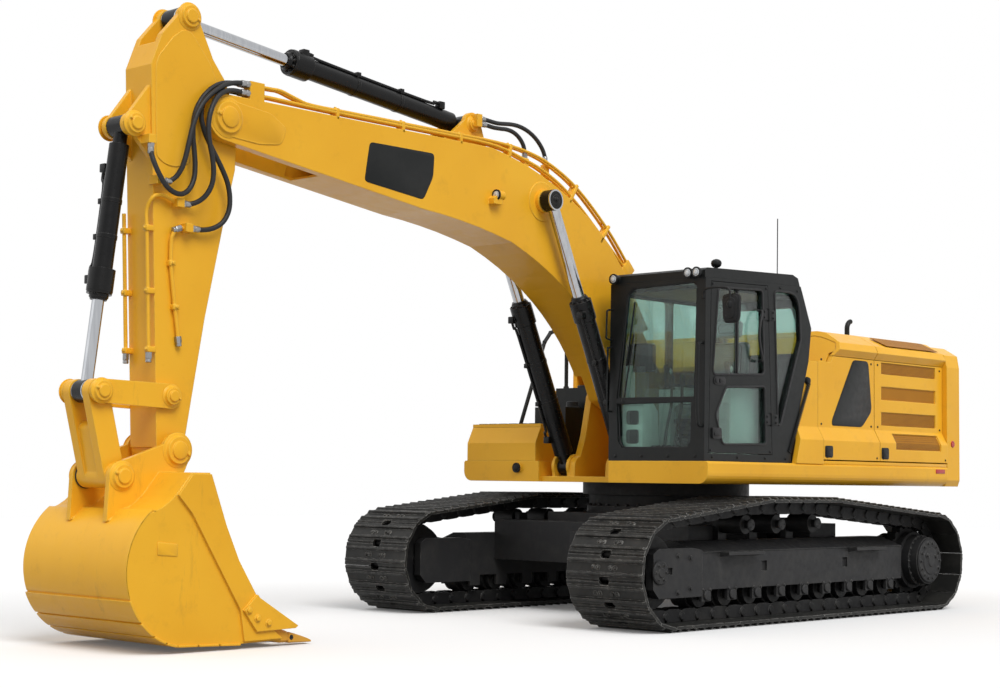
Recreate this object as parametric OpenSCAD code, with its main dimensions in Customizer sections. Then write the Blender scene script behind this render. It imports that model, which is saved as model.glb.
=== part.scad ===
// Crawler excavator with a one-piece boom, a short stick and a digging bucket.
// Frame: +X forward, +Y to the cab side, +Z up, origin on the ground on the swing axis.

/* [Undercarriage] */
// Distance between the centre lines of the two tracks
track_gauge = 2590; // [2300:10:2900]
// Width of a track shoe
shoe_width = 760; // [500:10:900]
// Distance from the swing axis to the idler and to the sprocket
axle_x = 1995; // [1800:5:2300]
// Radius of the shoe plates where they turn round the idler
wheel_r = 430; // [400:1:460]
// Height of the two bars on each shoe
grouser_h = 25; // [15:1:35]
// Thickness of the shoe plate
shoe_t = 25; // [15:1:30]
// Height of the chain links under the shoe plate
link_h = 105; // [80:1:120]
// Number of shoes in one track
shoes = 52; // [44:1:60]
// Height of the carrier rollers' shafts
carrier_z = 815; // [790:1:840]
// Radius of a carrier roller
carrier_r = 80; // [60:1:95]
// Radius of a bottom roller
roller_r = 100; // [85:1:110]
// Number of bottom rollers on one side
rollers = 9; // [6:1:9]
// Height of the track frame's top
frame_top = 620; // [580:1:650]
// Depth of the step bars that stand out from the track frames
step_depth = 100; // [60:5:120]

/* [House] */
// Outer radius of the swing ring's moving half
ring_r = 760; // [650:5:850]
// Underside of the revolving frame
house_z = 1150; // [1120:1:1180]
// Top of the decks that carry the cab and the covers
deck_z = 1335; // [1300:1:1360]
// Half of the width over the side doors
house_y = 1490; // [1430:5:1520]
// Radius of the counterweight's back about the swing axis
tail_r = 3110; // [2950:5:3300]
// Depth of the counterweight at the middle
tail_depth = 610; // [550:5:670]
// Top of the engine hood
hood_z = 2550; // [2480:5:2620]
// Height where the doors end and the hood begins
door_top = 2300; // [2260:5:2340]
// Joint between the front and the rear side door
door_split = -1265; // [-1400:5:-1100]
// Radius of the exhaust pipe
exhaust_r = 24; // [18:1:40]
// Straight height of the exhaust pipe above the hood
exhaust_h = 110; // [60:5:200]
// Thickness of a side door or cover
panel_t = 45; // [30:1:60]
// Depth of the recesses behind the grilles
grille_depth = 14; // [8:1:20]
// Top of the hydraulic tank
tank_top = 2030; // [1950:5:2100]

/* [Cab] */
// Inner side of the cab, next to the boom
cab_y0 = 446; // [430:1:500]
// Outer side of the cab
cab_y1 = 1450; // [1400:1:1470]
// Front of the cab
cab_x = 1362; // [1300:1:1420]
// Height of the cab's roof at its front
cab_top = 2925; // [2850:5:3000]
// Thickness of the cab's walls and of its door
cab_t = 50; // [35:1:60]
// Radius of a working lamp
lamp_r = 38; // [30:1:45]

/* [Boom] */
// Boom foot pin, forward of the swing axis
foot_x = 300; // [200:5:400]
// Boom foot pin, above the ground
foot_z = 1800; // [1750:5:1850]
// Distance from the boom's foot pin to its nose pin
boom_len = 5380; // [5000:10:5800]
// Slope of the line between those pins at rest
boom_slope = 20.56; // [18:0.1:24]
// Width of the boom
boom_w = 480; // [420:5:500]
// Thickness of the boom's and the stick's plates
plate_t = 22; // [14:1:30]
// Radius of the pins at the boom's foot and nose
pin_r = 60; // [45:1:70]

/* [Stick and bucket] */
// Distance from the boom's nose pin to the bucket pin
stick_len = 2380; // [2200:10:2600]
// Slope of that line at rest
stick_slope = -81.35; // [-84:0.1:-78]
// Width of the stick
stick_w = 300; // [260:5:320]
// Width of the bucket
bucket_w = 1200; // [900:10:1400]
// Thickness of the bucket's plates
bucket_t = 28; // [18:1:40]
// Thickness of the bars and cutters on the bucket's sides
side_bar_t = 20; // [12:1:30]
// Number of bucket teeth
teeth = 5; // [3:1:7]

/* [Cylinders] */
// Barrel radius of a boom cylinder
boom_cyl_r = 85; // [74:1:88]
// Distance of the boom cylinders from the middle
boom_cyl_y = 343; // [341:1:345]
// How far a barrel's end collar stands out
collar = 11; // [6:1:12]
// Rod radius of a boom cylinder
boom_rod_r = 50; // [38:1:54]
// Barrel radius of the stick cylinder
stick_cyl_r = 78; // [65:1:82]
// Barrel radius of the bucket cylinder
bucket_cyl_r = 68; // [58:1:75]
// Rod radius of the stick cylinder
stick_rod_r = 46; // [38:1:50]
// Rod radius of the bucket cylinder
bucket_rod_r = 42; // [34:1:46]
// Radius of a hydraulic hose
hose_r = 18; // [12:1:20]

/* [Hidden] */
$fn = 48;
axle_z = wheel_r + grouser_h;
gauge_y = track_gauge / 2;
chain_in = shoe_t + link_h;
tail_x = tail_depth - tail_r;
tail_wall = 310;
belt = [
    [axle_x, axle_z, wheel_r],
    [720, carrier_z, carrier_r + chain_in],
    [270, carrier_z, carrier_r + chain_in],
    [-280, carrier_z, carrier_r + chain_in],
    [-axle_x, axle_z, wheel_r]
];
roller_z = grouser_h + chain_in + roller_r + 0.4;
boom_foot = [foot_x, foot_z];
nose = boom_foot + boom_len * [cos(boom_slope), sin(boom_slope)];
bucket_pin = nose + stick_len * [cos(stick_slope), sin(stick_slope)];
boom_cyl_foot = [980, 1285];
boom_eye_uv = [2195, 985];
boom_eye = boom_point(boom_eye_uv);
stick_cyl_foot_uv = [3085, 1247];
stick_cyl_foot = boom_point(stick_cyl_foot_uv);
stick_eye_st = [-632, 383];
stick_eye = stick_point(stick_eye_st);
bucket_cyl_foot_st = [246, 692];
bucket_cyl_foot = stick_point(bucket_cyl_foot_st);
idler_pin_st = [stick_len - 360, 81];
idler_pin = stick_point(idler_pin_st);
link_pin = bucket_pin + [592, 384];
bucket_ear = bucket_pin + [447, -180];
ring_z = 1040;
foot_w = 165;
exhaust_turn = 75;
bracket_y = foot_w + 12;
hood_front_x = -540;
hood_lean = 0.67;
grilles = [[2180, 2288], [1941, 2066], [1705, 1829]];
hose_port_x = 5140;
// Lower back corners of the fittings where the hoses meet the stick
hose_ends = [[5850, 3150], [5930, 3420], [5680, 3010], [5600, 2845]];
fitting = 60;
door_back = [402, 472];
// Hoses from the block on the boom's nose to the fittings on the stick
nose_hoses = [
    [[5140, 222, 3960], [5210, 222, 3960], [5290, 228, 3945], [5370, 240, 3915], [5450, 252, 3865], [5530,
        260, 3800],
     [5595, 264, 3720], [5640, 264, 3625], [5670, 264, 3525], [5690, 260, 3430], [5705, 250, 3345], [5725,
         236, 3270],
     [5755, 214, 3212], [5800, 195, 3180], [5850, 195, 3180]],
    [[5140, 182, 3960], [5210, 182, 3960], [5290, 190, 3952], [5375, 204, 3930], [5458, 216, 3885], [5535,
        222, 3815],
     [5592, 222, 3725], [5620, 222, 3620], [5622, 222, 3515], [5608, 222, 3415], [5598, 222, 3315], [5608,
         226, 3220],
     [5650, 232, 3140], [5715, 240, 3098], [5790, 250, 3098], [5860, 254, 3135], [5915, 250, 3205], [5950,
         234, 3285],
     [5960, 214, 3345], [5960, 205, 3385], [5960, 205, 3420]],
    [[5140, 222, 3895], [5210, 222, 3895], [5290, 238, 3890], [5375, 258, 3868], [5450, 276, 3820], [5505,
        290, 3750],
     [5540, 298, 3665], [5550, 300, 3570], [5535, 300, 3470], [5510, 300, 3375], [5495, 298, 3280], [5500,
         290, 3190],
     [5530, 266, 3110], [5575, 228, 3060], [5630, 195, 3040], [5680, 195, 3040]],
    [[5140, 182, 3895], [5215, 182, 3895], [5300, 184, 3892], [5385, 186, 3878], [5468, 190, 3836], [5525,
        196, 3758],
     [5540, 204, 3662], [5518, 212, 3570], [5475, 220, 3485], [5425, 226, 3405], [5370, 230, 3320], [5320,
         230, 3230],
     [5295, 230, 3130], [5300, 228, 3030], [5345, 222, 2945], [5420, 212, 2895], [5500, 202, 2875], [5550,
         195, 2875],
     [5600, 195, 2875]]
];
// Hoses from the stick cylinder's ears to the pipe stands on the boom's back
cylinder_hoses = [
    [[2720, 170, 4100], [2640, 170, 4100], [2560, 166, 4096], [2480, 160, 4096], [2400, 156, 4104], [2310,
        152, 4114],
     [2220, 150, 4114], [2130, 150, 4098], [2045, 150, 4066], [1970, 150, 4018], [1910, 150, 3956], [1880,
         150, 3890],
     [1880, 150, 3830]],
    [[2720, 184, 4052], [2640, 184, 4052], [2560, 186, 4046], [2480, 188, 4048], [2400, 190, 4052], [2325,
        190, 4042],
     [2255, 190, 4010], [2200, 190, 3955], [2180, 190, 3890], [2180, 190, 3840]]
];
pipe_stands = [[1880, 150, 3830], [2180, 190, 3840]];

// Node names, in the order of assembly

// Points on the boom, measured along and above the line between its pins
function boom_point(p) = boom_foot + p[0] * [cos(boom_slope), sin(boom_slope)]
    + p[1] * [-sin(boom_slope), cos(boom_slope)];
// Points on the stick, measured along and in front of the line between its pins
function stick_point(p) = nose + p[0] * [cos(stick_slope), sin(stick_slope)]
    + p[1] * [-sin(stick_slope), cos(stick_slope)];
// A quadratic curve from a to c that leaves towards b
function bend(a, b, c, n) = [for (i = [0 : n]) let (t = i / n) (1 - t) * (1 - t) * a + 2 * t * (1 - t)
    * b + t * t * c];
function arc(c, r, a0, a1, n) = [for (i = [0 : n]) c + r * [cos(a0 + (a1 - a0) * i / n),
    sin(a0 + (a1 - a0) * i / n)]];

function unit(v) = v / norm(v);
// Direction of a route at one of its points
function heading(route, i) = unit(route[min(i + 1, len(route) - 1)] - route[max(i - 1, 0)]);

// Belt line of the track: arcs round the wheels and straight runs between them
function run_normal(i) = let (a = belt[i], b = belt[(i + 1) % len(belt)], d = [b[0] - a[0], b[1] - a[1]])
    atan2(d[1], d[0]) - acos((a[2] - b[2]) / norm(d));
function arc_start(i) = run_normal((i + len(belt) - 1) % len(belt));
function arc_sweep(i) = let (s = run_normal(i) - arc_start(i)) s - 360 * floor(s / 360);
function run_length(i) = let (a = belt[i], b = belt[(i + 1) % len(belt)])
    sqrt(pow(b[0] - a[0], 2) + pow(b[1] - a[1], 2) - pow(a[2] - b[2], 2));
function piece_length(k) = k % 2 == 0 ? belt[k / 2][2] * arc_sweep(k / 2) * PI / 180 : run_length((k - 1)
    / 2);
function belt_length(k = 0) = k == 2 * len(belt) ? 0 : piece_length(k) + belt_length(k + 1);
function on_piece(k, s, d) = k % 2 == 0
    ? let (c = belt[k / 2], a = arc_start(k / 2) + s / c[2] * 180 / PI) [c[0] + (c[2] + d) * cos(a),
        c[1] + (c[2] + d) * sin(a)]
    : let (i = (k - 1) / 2, c = belt[i], a = run_normal(i))
        [c[0] + (c[2] + d) * cos(a) - s * sin(a), c[1] + (c[2] + d) * sin(a) + s * cos(a)];
function on_belt(s, d, k = 0) = k == 2 * len(belt) - 1 || s <= piece_length(k)
    ? on_piece(k, s, d) : on_belt(s - piece_length(k), d, k + 1);
function belt_inside(d) = [for (i = [0 : len(belt) - 1]) let (n = max(1, round(arc_sweep(i) / 14)),
    c = belt[i])
    for (j = [0 : n]) let (a = arc_start(i) + arc_sweep(i) * j / n) [c[0] + (c[2] - d) * cos(a),
        c[1] + (c[2] - d) * sin(a)]];
function roller_x(i) = -1440 + 2800 * i / (rollers - 1);
function shoe_outline() = let (pitch = belt_length() / shoes)
    [for (i = [0 : 2 * shoes - 1]) let (s = (i + 0.5) * pitch / 2)
        each [on_belt(s - 16, 0), on_belt(s - 9, grouser_h), on_belt(s + 9, grouser_h), on_belt(s + 16, 0)]];

// A drawing in X and Z, made solid between two values of Y
module across(y0, y1) {
    translate([0, y1, 0]) rotate([90, 0, 0]) linear_extrude(y1 - y0) children();
}
// A drawing in Y and Z, made solid between two values of X
module along(x0, x1) {
    translate([x0, 0, 0]) rotate([90, 0, 90]) linear_extrude(x1 - x0) children();
}
module pin_y(p, r, y0, y1) {
    translate([p[0], y1, p[1]]) rotate([90, 0, 0]) cylinder(r = r, h = y1 - y0);
}
module both_sides() {
    children();
    mirror([0, 1, 0]) children();
}
module box(a, b) {
    translate(a) cube(b - a);
}
// Window or plate with round corners, from corner a to corner b
module rounded(a, b, r) {
    translate(a + [r, 0]) square([b[0] - a[0] - 2 * r, b[1] - a[1]]);
    translate(a + [0, r]) square([b[0] - a[0], b[1] - a[1] - 2 * r]);
    for (x = [a[0] + r, b[0] - r]) for (y = [a[1] + r, b[1] - r]) translate([x, y]) circle(r = r);
}
// A flat link with a round end at each pin
module link_shape(p, q, rp, rq) {
    translate(p) circle(r = rp);
    translate(q) circle(r = rq);
    polygon(tangent_quad(p, q, rp, rq));
}
function tangent_quad(p, q, rp, rq) = let (d = q - p, a = atan2(d[1], d[0]), b = acos((rp - rq) / norm(d)))
    [p + rp * [cos(a + b), sin(a + b)], q + rq * [cos(a + b), sin(a + b)],
     q + rq * [cos(a - b), sin(a - b)], p + rp * [cos(a - b), sin(a - b)]];
// A round bar between two points in X and Z, at one Y
module bar(p, q, y, r) {
    d = q - p;
    translate([p[0], y, p[1]]) rotate([0, 90 - atan2(d[1], d[0]), 0]) cylinder(r = r, h = norm(d));
}
// A round hose along a route of points
module hose(route) {
    sides = 10;
    last = len(route) - 1;
    ring = [for (i = [0 : last]) let (t = heading(route, i), u = unit(cross([0, 1, 0], t)), w = cross(t, u))
        for (k = [0 : sides - 1]) route[i] + hose_r * (cos(360 * k / sides) * u + sin(360 * k / sides) * w)];
    skin = [for (i = [0 : last - 1]) for (k = [0 : sides - 1]) let (a = i * sides + k,
        b = i * sides + (k + 1) % sides)
        each [[a, a + sides, b], [b, a + sides, b + sides]]];
    caps = [[for (k = [0 : sides - 1]) k], [for (k = [sides - 1 : -1 : 0]) last * sides + k]];
    color("#1b1b1c") polyhedron(ring, concat(skin, caps));
}

// Undercarriage
module car_body() {
    color("#3a3a3c") difference() {
        union() {
            for (x = [-900, 900]) box([x - 210, -gauge_y + 185, 440], [x + 210, gauge_y - 185, 800]);
            box([-900, -640, 500], [900, 640, 880]);
            translate([0, 0, 700]) cylinder(r = 720, h = 240, $fn = 96);
            for (s = [-1, 1]) box([s > 0 ? 1100 : -1290, -40, 560], [s > 0 ? 1290 : -1100, 40, 720]);
        }
        for (x = [-1210, 1210]) pin_y([x, 640], 40, -60, 60);
    }
}
module track_frame() {
    outer = gauge_y + 205;
    inner = gauge_y - 205;
    face = gauge_y + 185;
    difference() {
        union() {
            along(-1640, 1480) polygon([[gauge_y - 185, 385], [gauge_y - 185, frame_top + 60],
                [gauge_y - 20, frame_top + 60],
                [face, frame_top - 20], [face, 300], [face - 30, 300], [face - 30, 385]]);
            across(gauge_y - 185, gauge_y - 155) polygon([[-1600, 300], [1500, 300], [1500, 400], [-1600,
                400]]);
            for (i = [0 : rollers - 1]) for (y = [gauge_y - 185, gauge_y + 155])
                box([roller_x(i) - 62, y, roller_z - 48], [roller_x(i) + 62, y + 30, 320]);
            for (y = [inner, outer - 75]) across(y, y + 75) polygon([[1440, 250], [2000, 250], [2070, 320],
                [2070, 600],
                [2010, 640], [1560, 640], [1440, 620]]);
            across(inner, inner + 60) union() {
                polygon([[-1600, 300], [-1600, 620], [-axle_x, 700], [-axle_x, 210]]);
                translate([-axle_x, axle_z]) circle(r = 245);
            }
            for (x = [belt[1][0], belt[2][0], belt[3][0]])
                box([x - 55, gauge_y - 185, frame_top], [x + 55, gauge_y - 130, carrier_z + 45]);
            for (x = [686, -1230]) along(x, x + 500) polygon([[face - 5, frame_top - 60],
                [face + step_depth, frame_top - 45],
                [face + step_depth, frame_top - 20], [face - 5, frame_top - 20]]);
        }
        for (x = [513, -726]) box([x, face - 22, 430], [x + 84, face + 1, 515]);
        box([1830, outer - 25, 435], [1910, outer + 1, 490]);
    }
}
module track_frame_left() {
    color("#3f3f42") track_frame();
}
module track_frame_right() {
    color("#3f3f42") mirror([0, 1, 0]) track_frame();
}
module track() {
    across(gauge_y - shoe_width / 2, gauge_y + shoe_width / 2) difference() {
        polygon(shoe_outline());
        polygon(belt_inside(shoe_t));
    }
    for (y = [gauge_y - 110, gauge_y + 60]) across(y, y + 50) difference() {
        polygon(belt_inside(shoe_t - 10));
        polygon(belt_inside(chain_in));
    }
}
module track_left() {
    color("#4a4a4c") track();
}
module track_right() {
    color("#4a4a4c") mirror([0, 1, 0]) track();
}
module idler_wheels() {
    color("#38383a") both_sides() {
        pin_y([axle_x, axle_z], wheel_r - chain_in - 4, gauge_y - 105, gauge_y + 105);
        pin_y([axle_x, axle_z], wheel_r - chain_in + 20, gauge_y - 50, gauge_y + 50);
        pin_y([axle_x, axle_z], 70, gauge_y - 130, gauge_y + 130);
    }
}
module sprockets() {
    tooth = 360 / 21;
    r0 = wheel_r - chain_in - 6;
    color("#38383a") both_sides() across(gauge_y - 45, gauge_y + 45) difference() {
        polygon([for (i = [0 : 20]) each [for (k = [[-0.36, 0], [-0.14, 35], [0.14, 35], [0.36, 0]])
            [-axle_x + (r0 + k[1]) * cos((i + k[0]) * tooth), axle_z + (r0 + k[1]) * sin((i + k[0])
                * tooth)]]]);
        translate([-axle_x, axle_z]) circle(r = 236.3);
    }
}
module final_drives() {
    color("#404043") both_sides() {
        pin_y([-axle_x, axle_z], 236, gauge_y - 145, gauge_y + 190);
        pin_y([-axle_x, axle_z], 217, gauge_y + 180, gauge_y + 265);
        pin_y([-axle_x, axle_z], 262, gauge_y + 45.2, gauge_y + 110);
    }
}
module bottom_rollers() {
    color("#38383a") both_sides() for (i = [0 : rollers - 1]) translate([roller_x(i), 0, 0]) {
        pin_y([0, roller_z], roller_r, gauge_y - 112, gauge_y + 112);
        pin_y([0, roller_z], 45, gauge_y - 155, gauge_y + 155);
        pin_y([0, roller_z], roller_r + 14, gauge_y - 52, gauge_y + 52);
    }
}
module carrier_rollers() {
    color("#38383a") both_sides() for (x = [belt[1][0], belt[2][0], belt[3][0]]) {
        pin_y([x, carrier_z], carrier_r - 0.4, gauge_y - 112, gauge_y + 112);
        pin_y([x, carrier_z], 35, gauge_y - 130, gauge_y + 160);
    }
}
module swing_ring_lower() {
    color("#2c2c2e") translate([0, 0, 940]) difference() {
        cylinder(r = ring_r - 60, h = ring_z - 940, $fn = 96);
        translate([0, 0, -1]) cylinder(r = ring_r - 200, h = 200, $fn = 96);
    }
}

// Revolving frame, decks and covers
module swing_ring_upper() {
    color("#222224") translate([0, 0, ring_z + 0.5]) difference() {
        cylinder(r = ring_r, h = house_z - ring_z - 0.5, $fn = 96);
        translate([0, 0, -1]) cylinder(r = ring_r - 160, h = 200, $fn = 96);
    }
}
module main_frame() {
    color("#e0a030") {
        box([tail_x + 20, -560, house_z], [1090, 560, house_z + 50]);
        both_sides() {
            across(bracket_y, bracket_y + 65) polygon(concat([[-560, house_z + 40], [1080, house_z + 40]],
                arc(boom_cyl_foot, 96, 0, 80, 8), [[930, 1560]], arc([760, 1880], 100, 0, 90, 6),
                    arc(boom_foot, 190, 75, 190, 10),
                [[-60, 1560]]));
            for (y = [bracket_y + 60, boom_cyl_y + 66]) across(y, y + 30) union() {
                translate(boom_cyl_foot) circle(r = 112);
                polygon([[830, house_z + 40], [1075, house_z + 40], boom_cyl_foot + [108, 29],
                    boom_cyl_foot + [-108, 29]]);
            }
            pin_y(boom_cyl_foot, 44, bracket_y + 20, boom_cyl_y + 97);
        }
        pin_y(boom_foot, pin_r, -bracket_y - 80, bracket_y + 80);
    }
}
module deck_shape(x0, x1, y0) {
    difference() {
        along(x0, x1) polygon(concat([[560, house_z]], arc([y0 - 90, house_z + 90], 90, -90, 0, 6), [[y0,
            deck_z - 15], [y0 - 15, deck_z],
            [560, deck_z]]));
        box([x0 + 60, 600, house_z - 10], [x1 - 60, y0 - 110, deck_z - 50]);
    }
}
module left_deck() {
    color("#e3a534") union() {
        deck_shape(tail_x + 10, cab_x, house_y);
        box([1095, cab_y0, house_z], [cab_x, 620, deck_z]);
        box([200, cab_y0, house_z + 50], [1140, 620, deck_z]);
    }
}
module right_deck() {
    color("#e3a534") union() {
        mirror([0, 1, 0]) deck_shape(tail_x + 10, 1130, house_y);
        translate([1120, -808, 1272]) rotate([0, 90, 0]) cylinder(r = lamp_r, h = 35);
    }
}
module counterweight() {
    color("#dd9c2c") intersection() {
        difference() {
            translate([0, 0, house_z]) cylinder(r = tail_r, h = 1400, $fn = 180);
            box([tail_x, -4000, 0], [4000, 4000, 4000]);
            both_sides() translate([tail_x - 200, 700, 2300]) cylinder(r = 28, h = 400);
            box([tail_wall - tail_r, -1300, house_z + 160], [tail_x + 10, 1300, 2330]);
        }
        along(-tail_r - 10, 0) polygon([[-house_y + 40, house_z], [house_y - 40, house_z], [house_y - 10,
            house_z + 60],
            [house_y - 10, door_top], [house_y - 40, door_top + 120], [1255, door_top + 210], [-1255,
                door_top + 210],
            [-house_y + 40, door_top + 120], [-house_y + 10, door_top], [-house_y + 10, house_z + 60]]);
    }
}
module engine_block() {
    color("#4b4d50") union() {
        box([tail_x + 350, -500, house_z + 70], [tail_x + 900, 500, 1900]);
        box([tail_x + 450, -800, 1500], [tail_x + 800, -490, 1850]);
    }
}
function door_profile() = [[house_y, deck_z + 40], [house_y, 1545], [house_y - 62, 1660], [house_y - 62,
    door_top],
    [house_y - 62 - panel_t, door_top], [house_y - 62 - panel_t, 1650], [house_y - panel_t, 1540],
        [house_y - panel_t, deck_z + 40]];
function hood_profile(t) = [[house_y - 62 - t, door_top + 5], [house_y - 20 - t, door_top + 65],
    [house_y - 50 - t, door_top + 130],
    [1255 - t / 3, hood_z - 20 - t], [1150, hood_z - t]];
module hood_shell(x0, x1) {
    outer = hood_profile(0);
    inner = hood_profile(panel_t);
    along(x0, x1) difference() {
        polygon(concat(outer, [for (i = [4 : -1 : 0]) [-outer[i][0], outer[i][1]]]));
        polygon(concat([[inner[0][0], door_top - 20]], inner, [for (i = [4 : -1 : 0]) [-inner[i][0],
            inner[i][1]]],
            [[-inner[0][0], door_top - 20]]));
    }
}
module side_door(x0, x1) {
    along(x0, x1) polygon(door_profile());
}
// The rear doors are pierced by four grilles, the lowest of them folded over the door's bulge
module rear_door() {
    front = door_split - 120;
    back = tail_x + 130;
    difference() {
        side_door(tail_x + 6, door_split - 6);
        for (z = grilles) box([back, house_y - 62 - grille_depth, z[0]], [front, house_y, z[1]]);
        along(back, front - 160) polygon([[house_y - grille_depth, 1483], [house_y + 10, 1483],
            [house_y + 10, 1633],
            [house_y - 47 - grille_depth, 1633], [house_y - grille_depth, 1541]]);
    }
}
// What the hood's lean leaves off the upper front corner of a side cover
module hood_corner() {
    across(0, 2000) polygon([[hood_front_x - 50, door_top + 10], [hood_front_x, 2245], [-300, 2245], [-300,
        door_top + 10]]);
}
module left_front_door() {
    color("#e6a838") difference() {
        side_door(door_split + 6, -336);
        hood_corner();
    }
}
module left_rear_door() {
    color("#e6a838") rear_door();
}
module right_rear_door() {
    color("#e6a838") mirror([0, 1, 0]) rear_door();
}
module left_front_panel() {
    color("#e3a534") difference() {
        along(-330, 110) polygon([[house_y, deck_z], [house_y, 1545], [house_y - 62, 1660], [house_y - 62,
            2240],
            [480, 2240], [480, 2195], [house_y - 110, 2195], [house_y - 110, 1650], [house_y - 50, 1540],
                [house_y - 50, deck_z]]);
        across(0, 2000) polygon([[100, 1300], [-178, 2236], [-178, 2400], [400, 2400], [400, 1300]]);
    }
}
module right_front_panel() {
    color("#e3a534") mirror([0, 1, 0]) difference() {
        along(door_split + 6, -336)
            polygon(concat([[house_y, deck_z]], [for (i = [1 : 6]) door_profile()[i]], [[house_y - panel_t,
                deck_z]]));
        hood_corner();
    }
}
module hood_front() {
    top = [hood_front_x - hood_lean * (hood_z - 2240), hood_z];
    shell = hood_profile(10);
    color("#e6a838") union() {
        difference() {
            hood_shell(door_split + 6, hood_front_x);
            across(-2000, 2000) polygon([[hood_front_x, 2240], top, top + [0, 20], [0, hood_z + 20], [0,
                2240]]);
        }
        intersection() {
            along(door_split + 6, hood_front_x + 10) polygon(concat([[1360, 2195], [1360, door_top + 30]],
                [for (i = [1 : 4]) shell[i]], [for (i = [4 : -1 : 1]) [-shell[i][0], shell[i][1]]],
                [[-1360, door_top + 30], [-1360, 2195]]));
            across(-2000, 2000) polygon([[hood_front_x - 5, 2190], [hood_front_x - 5, 2240], top - [5, 0],
                top - [panel_t, 0],
                [hood_front_x - panel_t, 2240], [hood_front_x - panel_t, 2190]]);
        }
        box([hood_front_x - 15, -1360, 2195], [-331, 1360, 2240]);
    }
}
module engine_hood() {
    color("#e6a838") hood_shell(tail_x + 6, door_split - 6);
}
module hydraulic_tank() {
    color("#e3a534") difference() {
        box([-330, -house_y + 62, deck_z], [20, -500, tank_top]);
        box([-300, -house_y + 92, deck_z + 30], [-10, -530, tank_top - 30]);
    }
}
module fuel_tank() {
    color("#26272a") difference() {
        union() {
            box([60, -998, deck_z], [700, -620, 1838]);
            box([60, -1092, deck_z], [300, -700, tank_top + 5]);
        }
        box([90, -968, deck_z + 30], [670, -650, 1808]);
    }
}
module toolbox() {
    color("#e3a534") difference() {
        across(40 - house_y, -600) polygon([[722, deck_z], [1130, deck_z], [1130, 1497], [1060, 1640],
            [722, 1640]]);
        box([760, -house_y + 80, deck_z + 40], [1010, -640, 1800]);
    }
}
module toolbox_lid() {
    color("#e6a838") box([724, 40 - house_y, 1641], [1060, -600, 1672]);
}
module tube(points, r) {
    for (i = [0 : len(points) - 2]) {
        d = points[i + 1] - points[i];
        translate(points[i]) rotate([0, acos(d[2] / norm(d)), atan2(d[1], d[0])]) cylinder(r = r,
            h = norm(d), $fn = 24);
        if (i > 0) translate(points[i]) sphere(r = r * 1.15, $fn = 24);
    }
}
module handrails() {
    y = -1330;
    foot = [678, y, deck_z];
    back = -120;
    top = 2624;
    color("#1c1c1e") difference() {
        tube([foot - [-8, 0, 20], [205, y, 2494], [120, y, 2590], [21, y, top], [back + 70, y, top], [back,
            y, top - 70],
            [back, y, tank_top]], 19);
        box(foot - [200, 200, 100], foot + [200, 200, 0]);
    }
}
module exhaust_pipe() {
    color("#1e1e20") translate([-1800, 800, hood_z]) {
        cylinder(r = exhaust_r, h = exhaust_h);
        translate([-exhaust_turn, 0, exhaust_h]) rotate([90, 0, 0]) rotate_extrude(angle = 80)
            translate([exhaust_turn, 0]) circle(r = exhaust_r);
    }
}

// Cab
function cab_side() = [[cab_x, deck_z], [cab_x, 1420], [cab_x - 16, cab_top - 90], [-30, cab_top - 50],
    [-60, cab_top - 110],
    [-196, 2520], [-154, 2235], [116, 1400], [116, deck_z]];
function cab_inside() = [[cab_x - cab_t, deck_z + cab_t], [cab_x - cab_t - 16, cab_top - 160], [0,
    cab_top - 160], [-140, 2520],
    [-100, 2250], [166, 1410], [166, deck_z + cab_t]];
module door_shape(g) {
    polygon([[1298 + g, 1405 - g], [1268 + g, 2808 + g], [door_back[1] - g, 2836 + g], [door_back[0] - g,
        1405 - g]]);
}
module door_windows() {
    polygon([[1140, 2770], [1172, 2745], [1245, 2080], [1225, 2045], [545, 2078], [522, 2102], [548, 2775],
        [572, 2795]]);
    polygon([[1198, 1730], [1072, 1935], [1045, 1950], [530, 1978], [508, 1955], [492, 1510], [512, 1488],
        [1085, 1475],
        [1115, 1490], [1202, 1700]]);
}
module quarter_window() {
    polygon([[366, 2785], [342, 2806], [150, 2812], [60, 2795], [10, 2740], [-14, 2640], [-28, 2400], [272,
        1670], [292, 1655],
        [318, 1665]]);
}
module right_windows() {
    rounded([600, 1560], [1240, 2750], 50);
    rounded([40, 2020], [540, 2750], 50);
}
module front_windows() {
    polygon([[cab_y0 + 78, 1862], [cab_y1 - 108, 1856], [cab_y1 - 92, 2770], [cab_y1 - 125, 2805],
        [cab_y0 + 240, 2790],
        [cab_y0 + 180, 2735]]);
    polygon([[cab_y0 + 82, 1818], [cab_y1 - 134, 1822], [cab_y1 - 140, 1495], [cab_y1 - 180, 1446],
        [cab_y0 + 140, 1446],
        [cab_y0 + 100, 1500]]);
}
module rear_window() {
    rounded([cab_y0 + 110, 2300], [cab_y1 - 110, 2700], 40);
}
module cab_frame() {
    color("#232427") difference() {
        across(cab_y0, cab_y1) polygon(cab_side());
        across(cab_y0 + cab_t, cab_y1 - cab_t) polygon(cab_inside());
        across(cab_y1 - 100, cab_y1 + 50) door_shape(5);
        across(cab_y1 - 100, cab_y1 + 50) quarter_window();
        across(cab_y0 - 50, cab_y0 + 100) right_windows();
        along(cab_x - 150, cab_x + 100) front_windows();
        along(-400, 60) rear_window();
    }
}
module cab_roof() {
    color("#232427") union() {
        across(cab_y0 + 8, cab_y1 - 8) polygon([[cab_x - 16, cab_top - 89.5], [cab_x - 16, cab_top - 25],
            [cab_x - 50, cab_top - 6],
            [1200, cab_top], [80, cab_top + 45], [0, cab_top + 20], [-30, cab_top - 49.5]]);
        for (y = [cab_y0 + 66, cab_y1 - 150, cab_y1 - 62]) translate([cab_x - 30, y,
            cab_top - 48]) rotate([0, 90, 0])
            cylinder(r = lamp_r, h = 62);
    }
}
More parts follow.
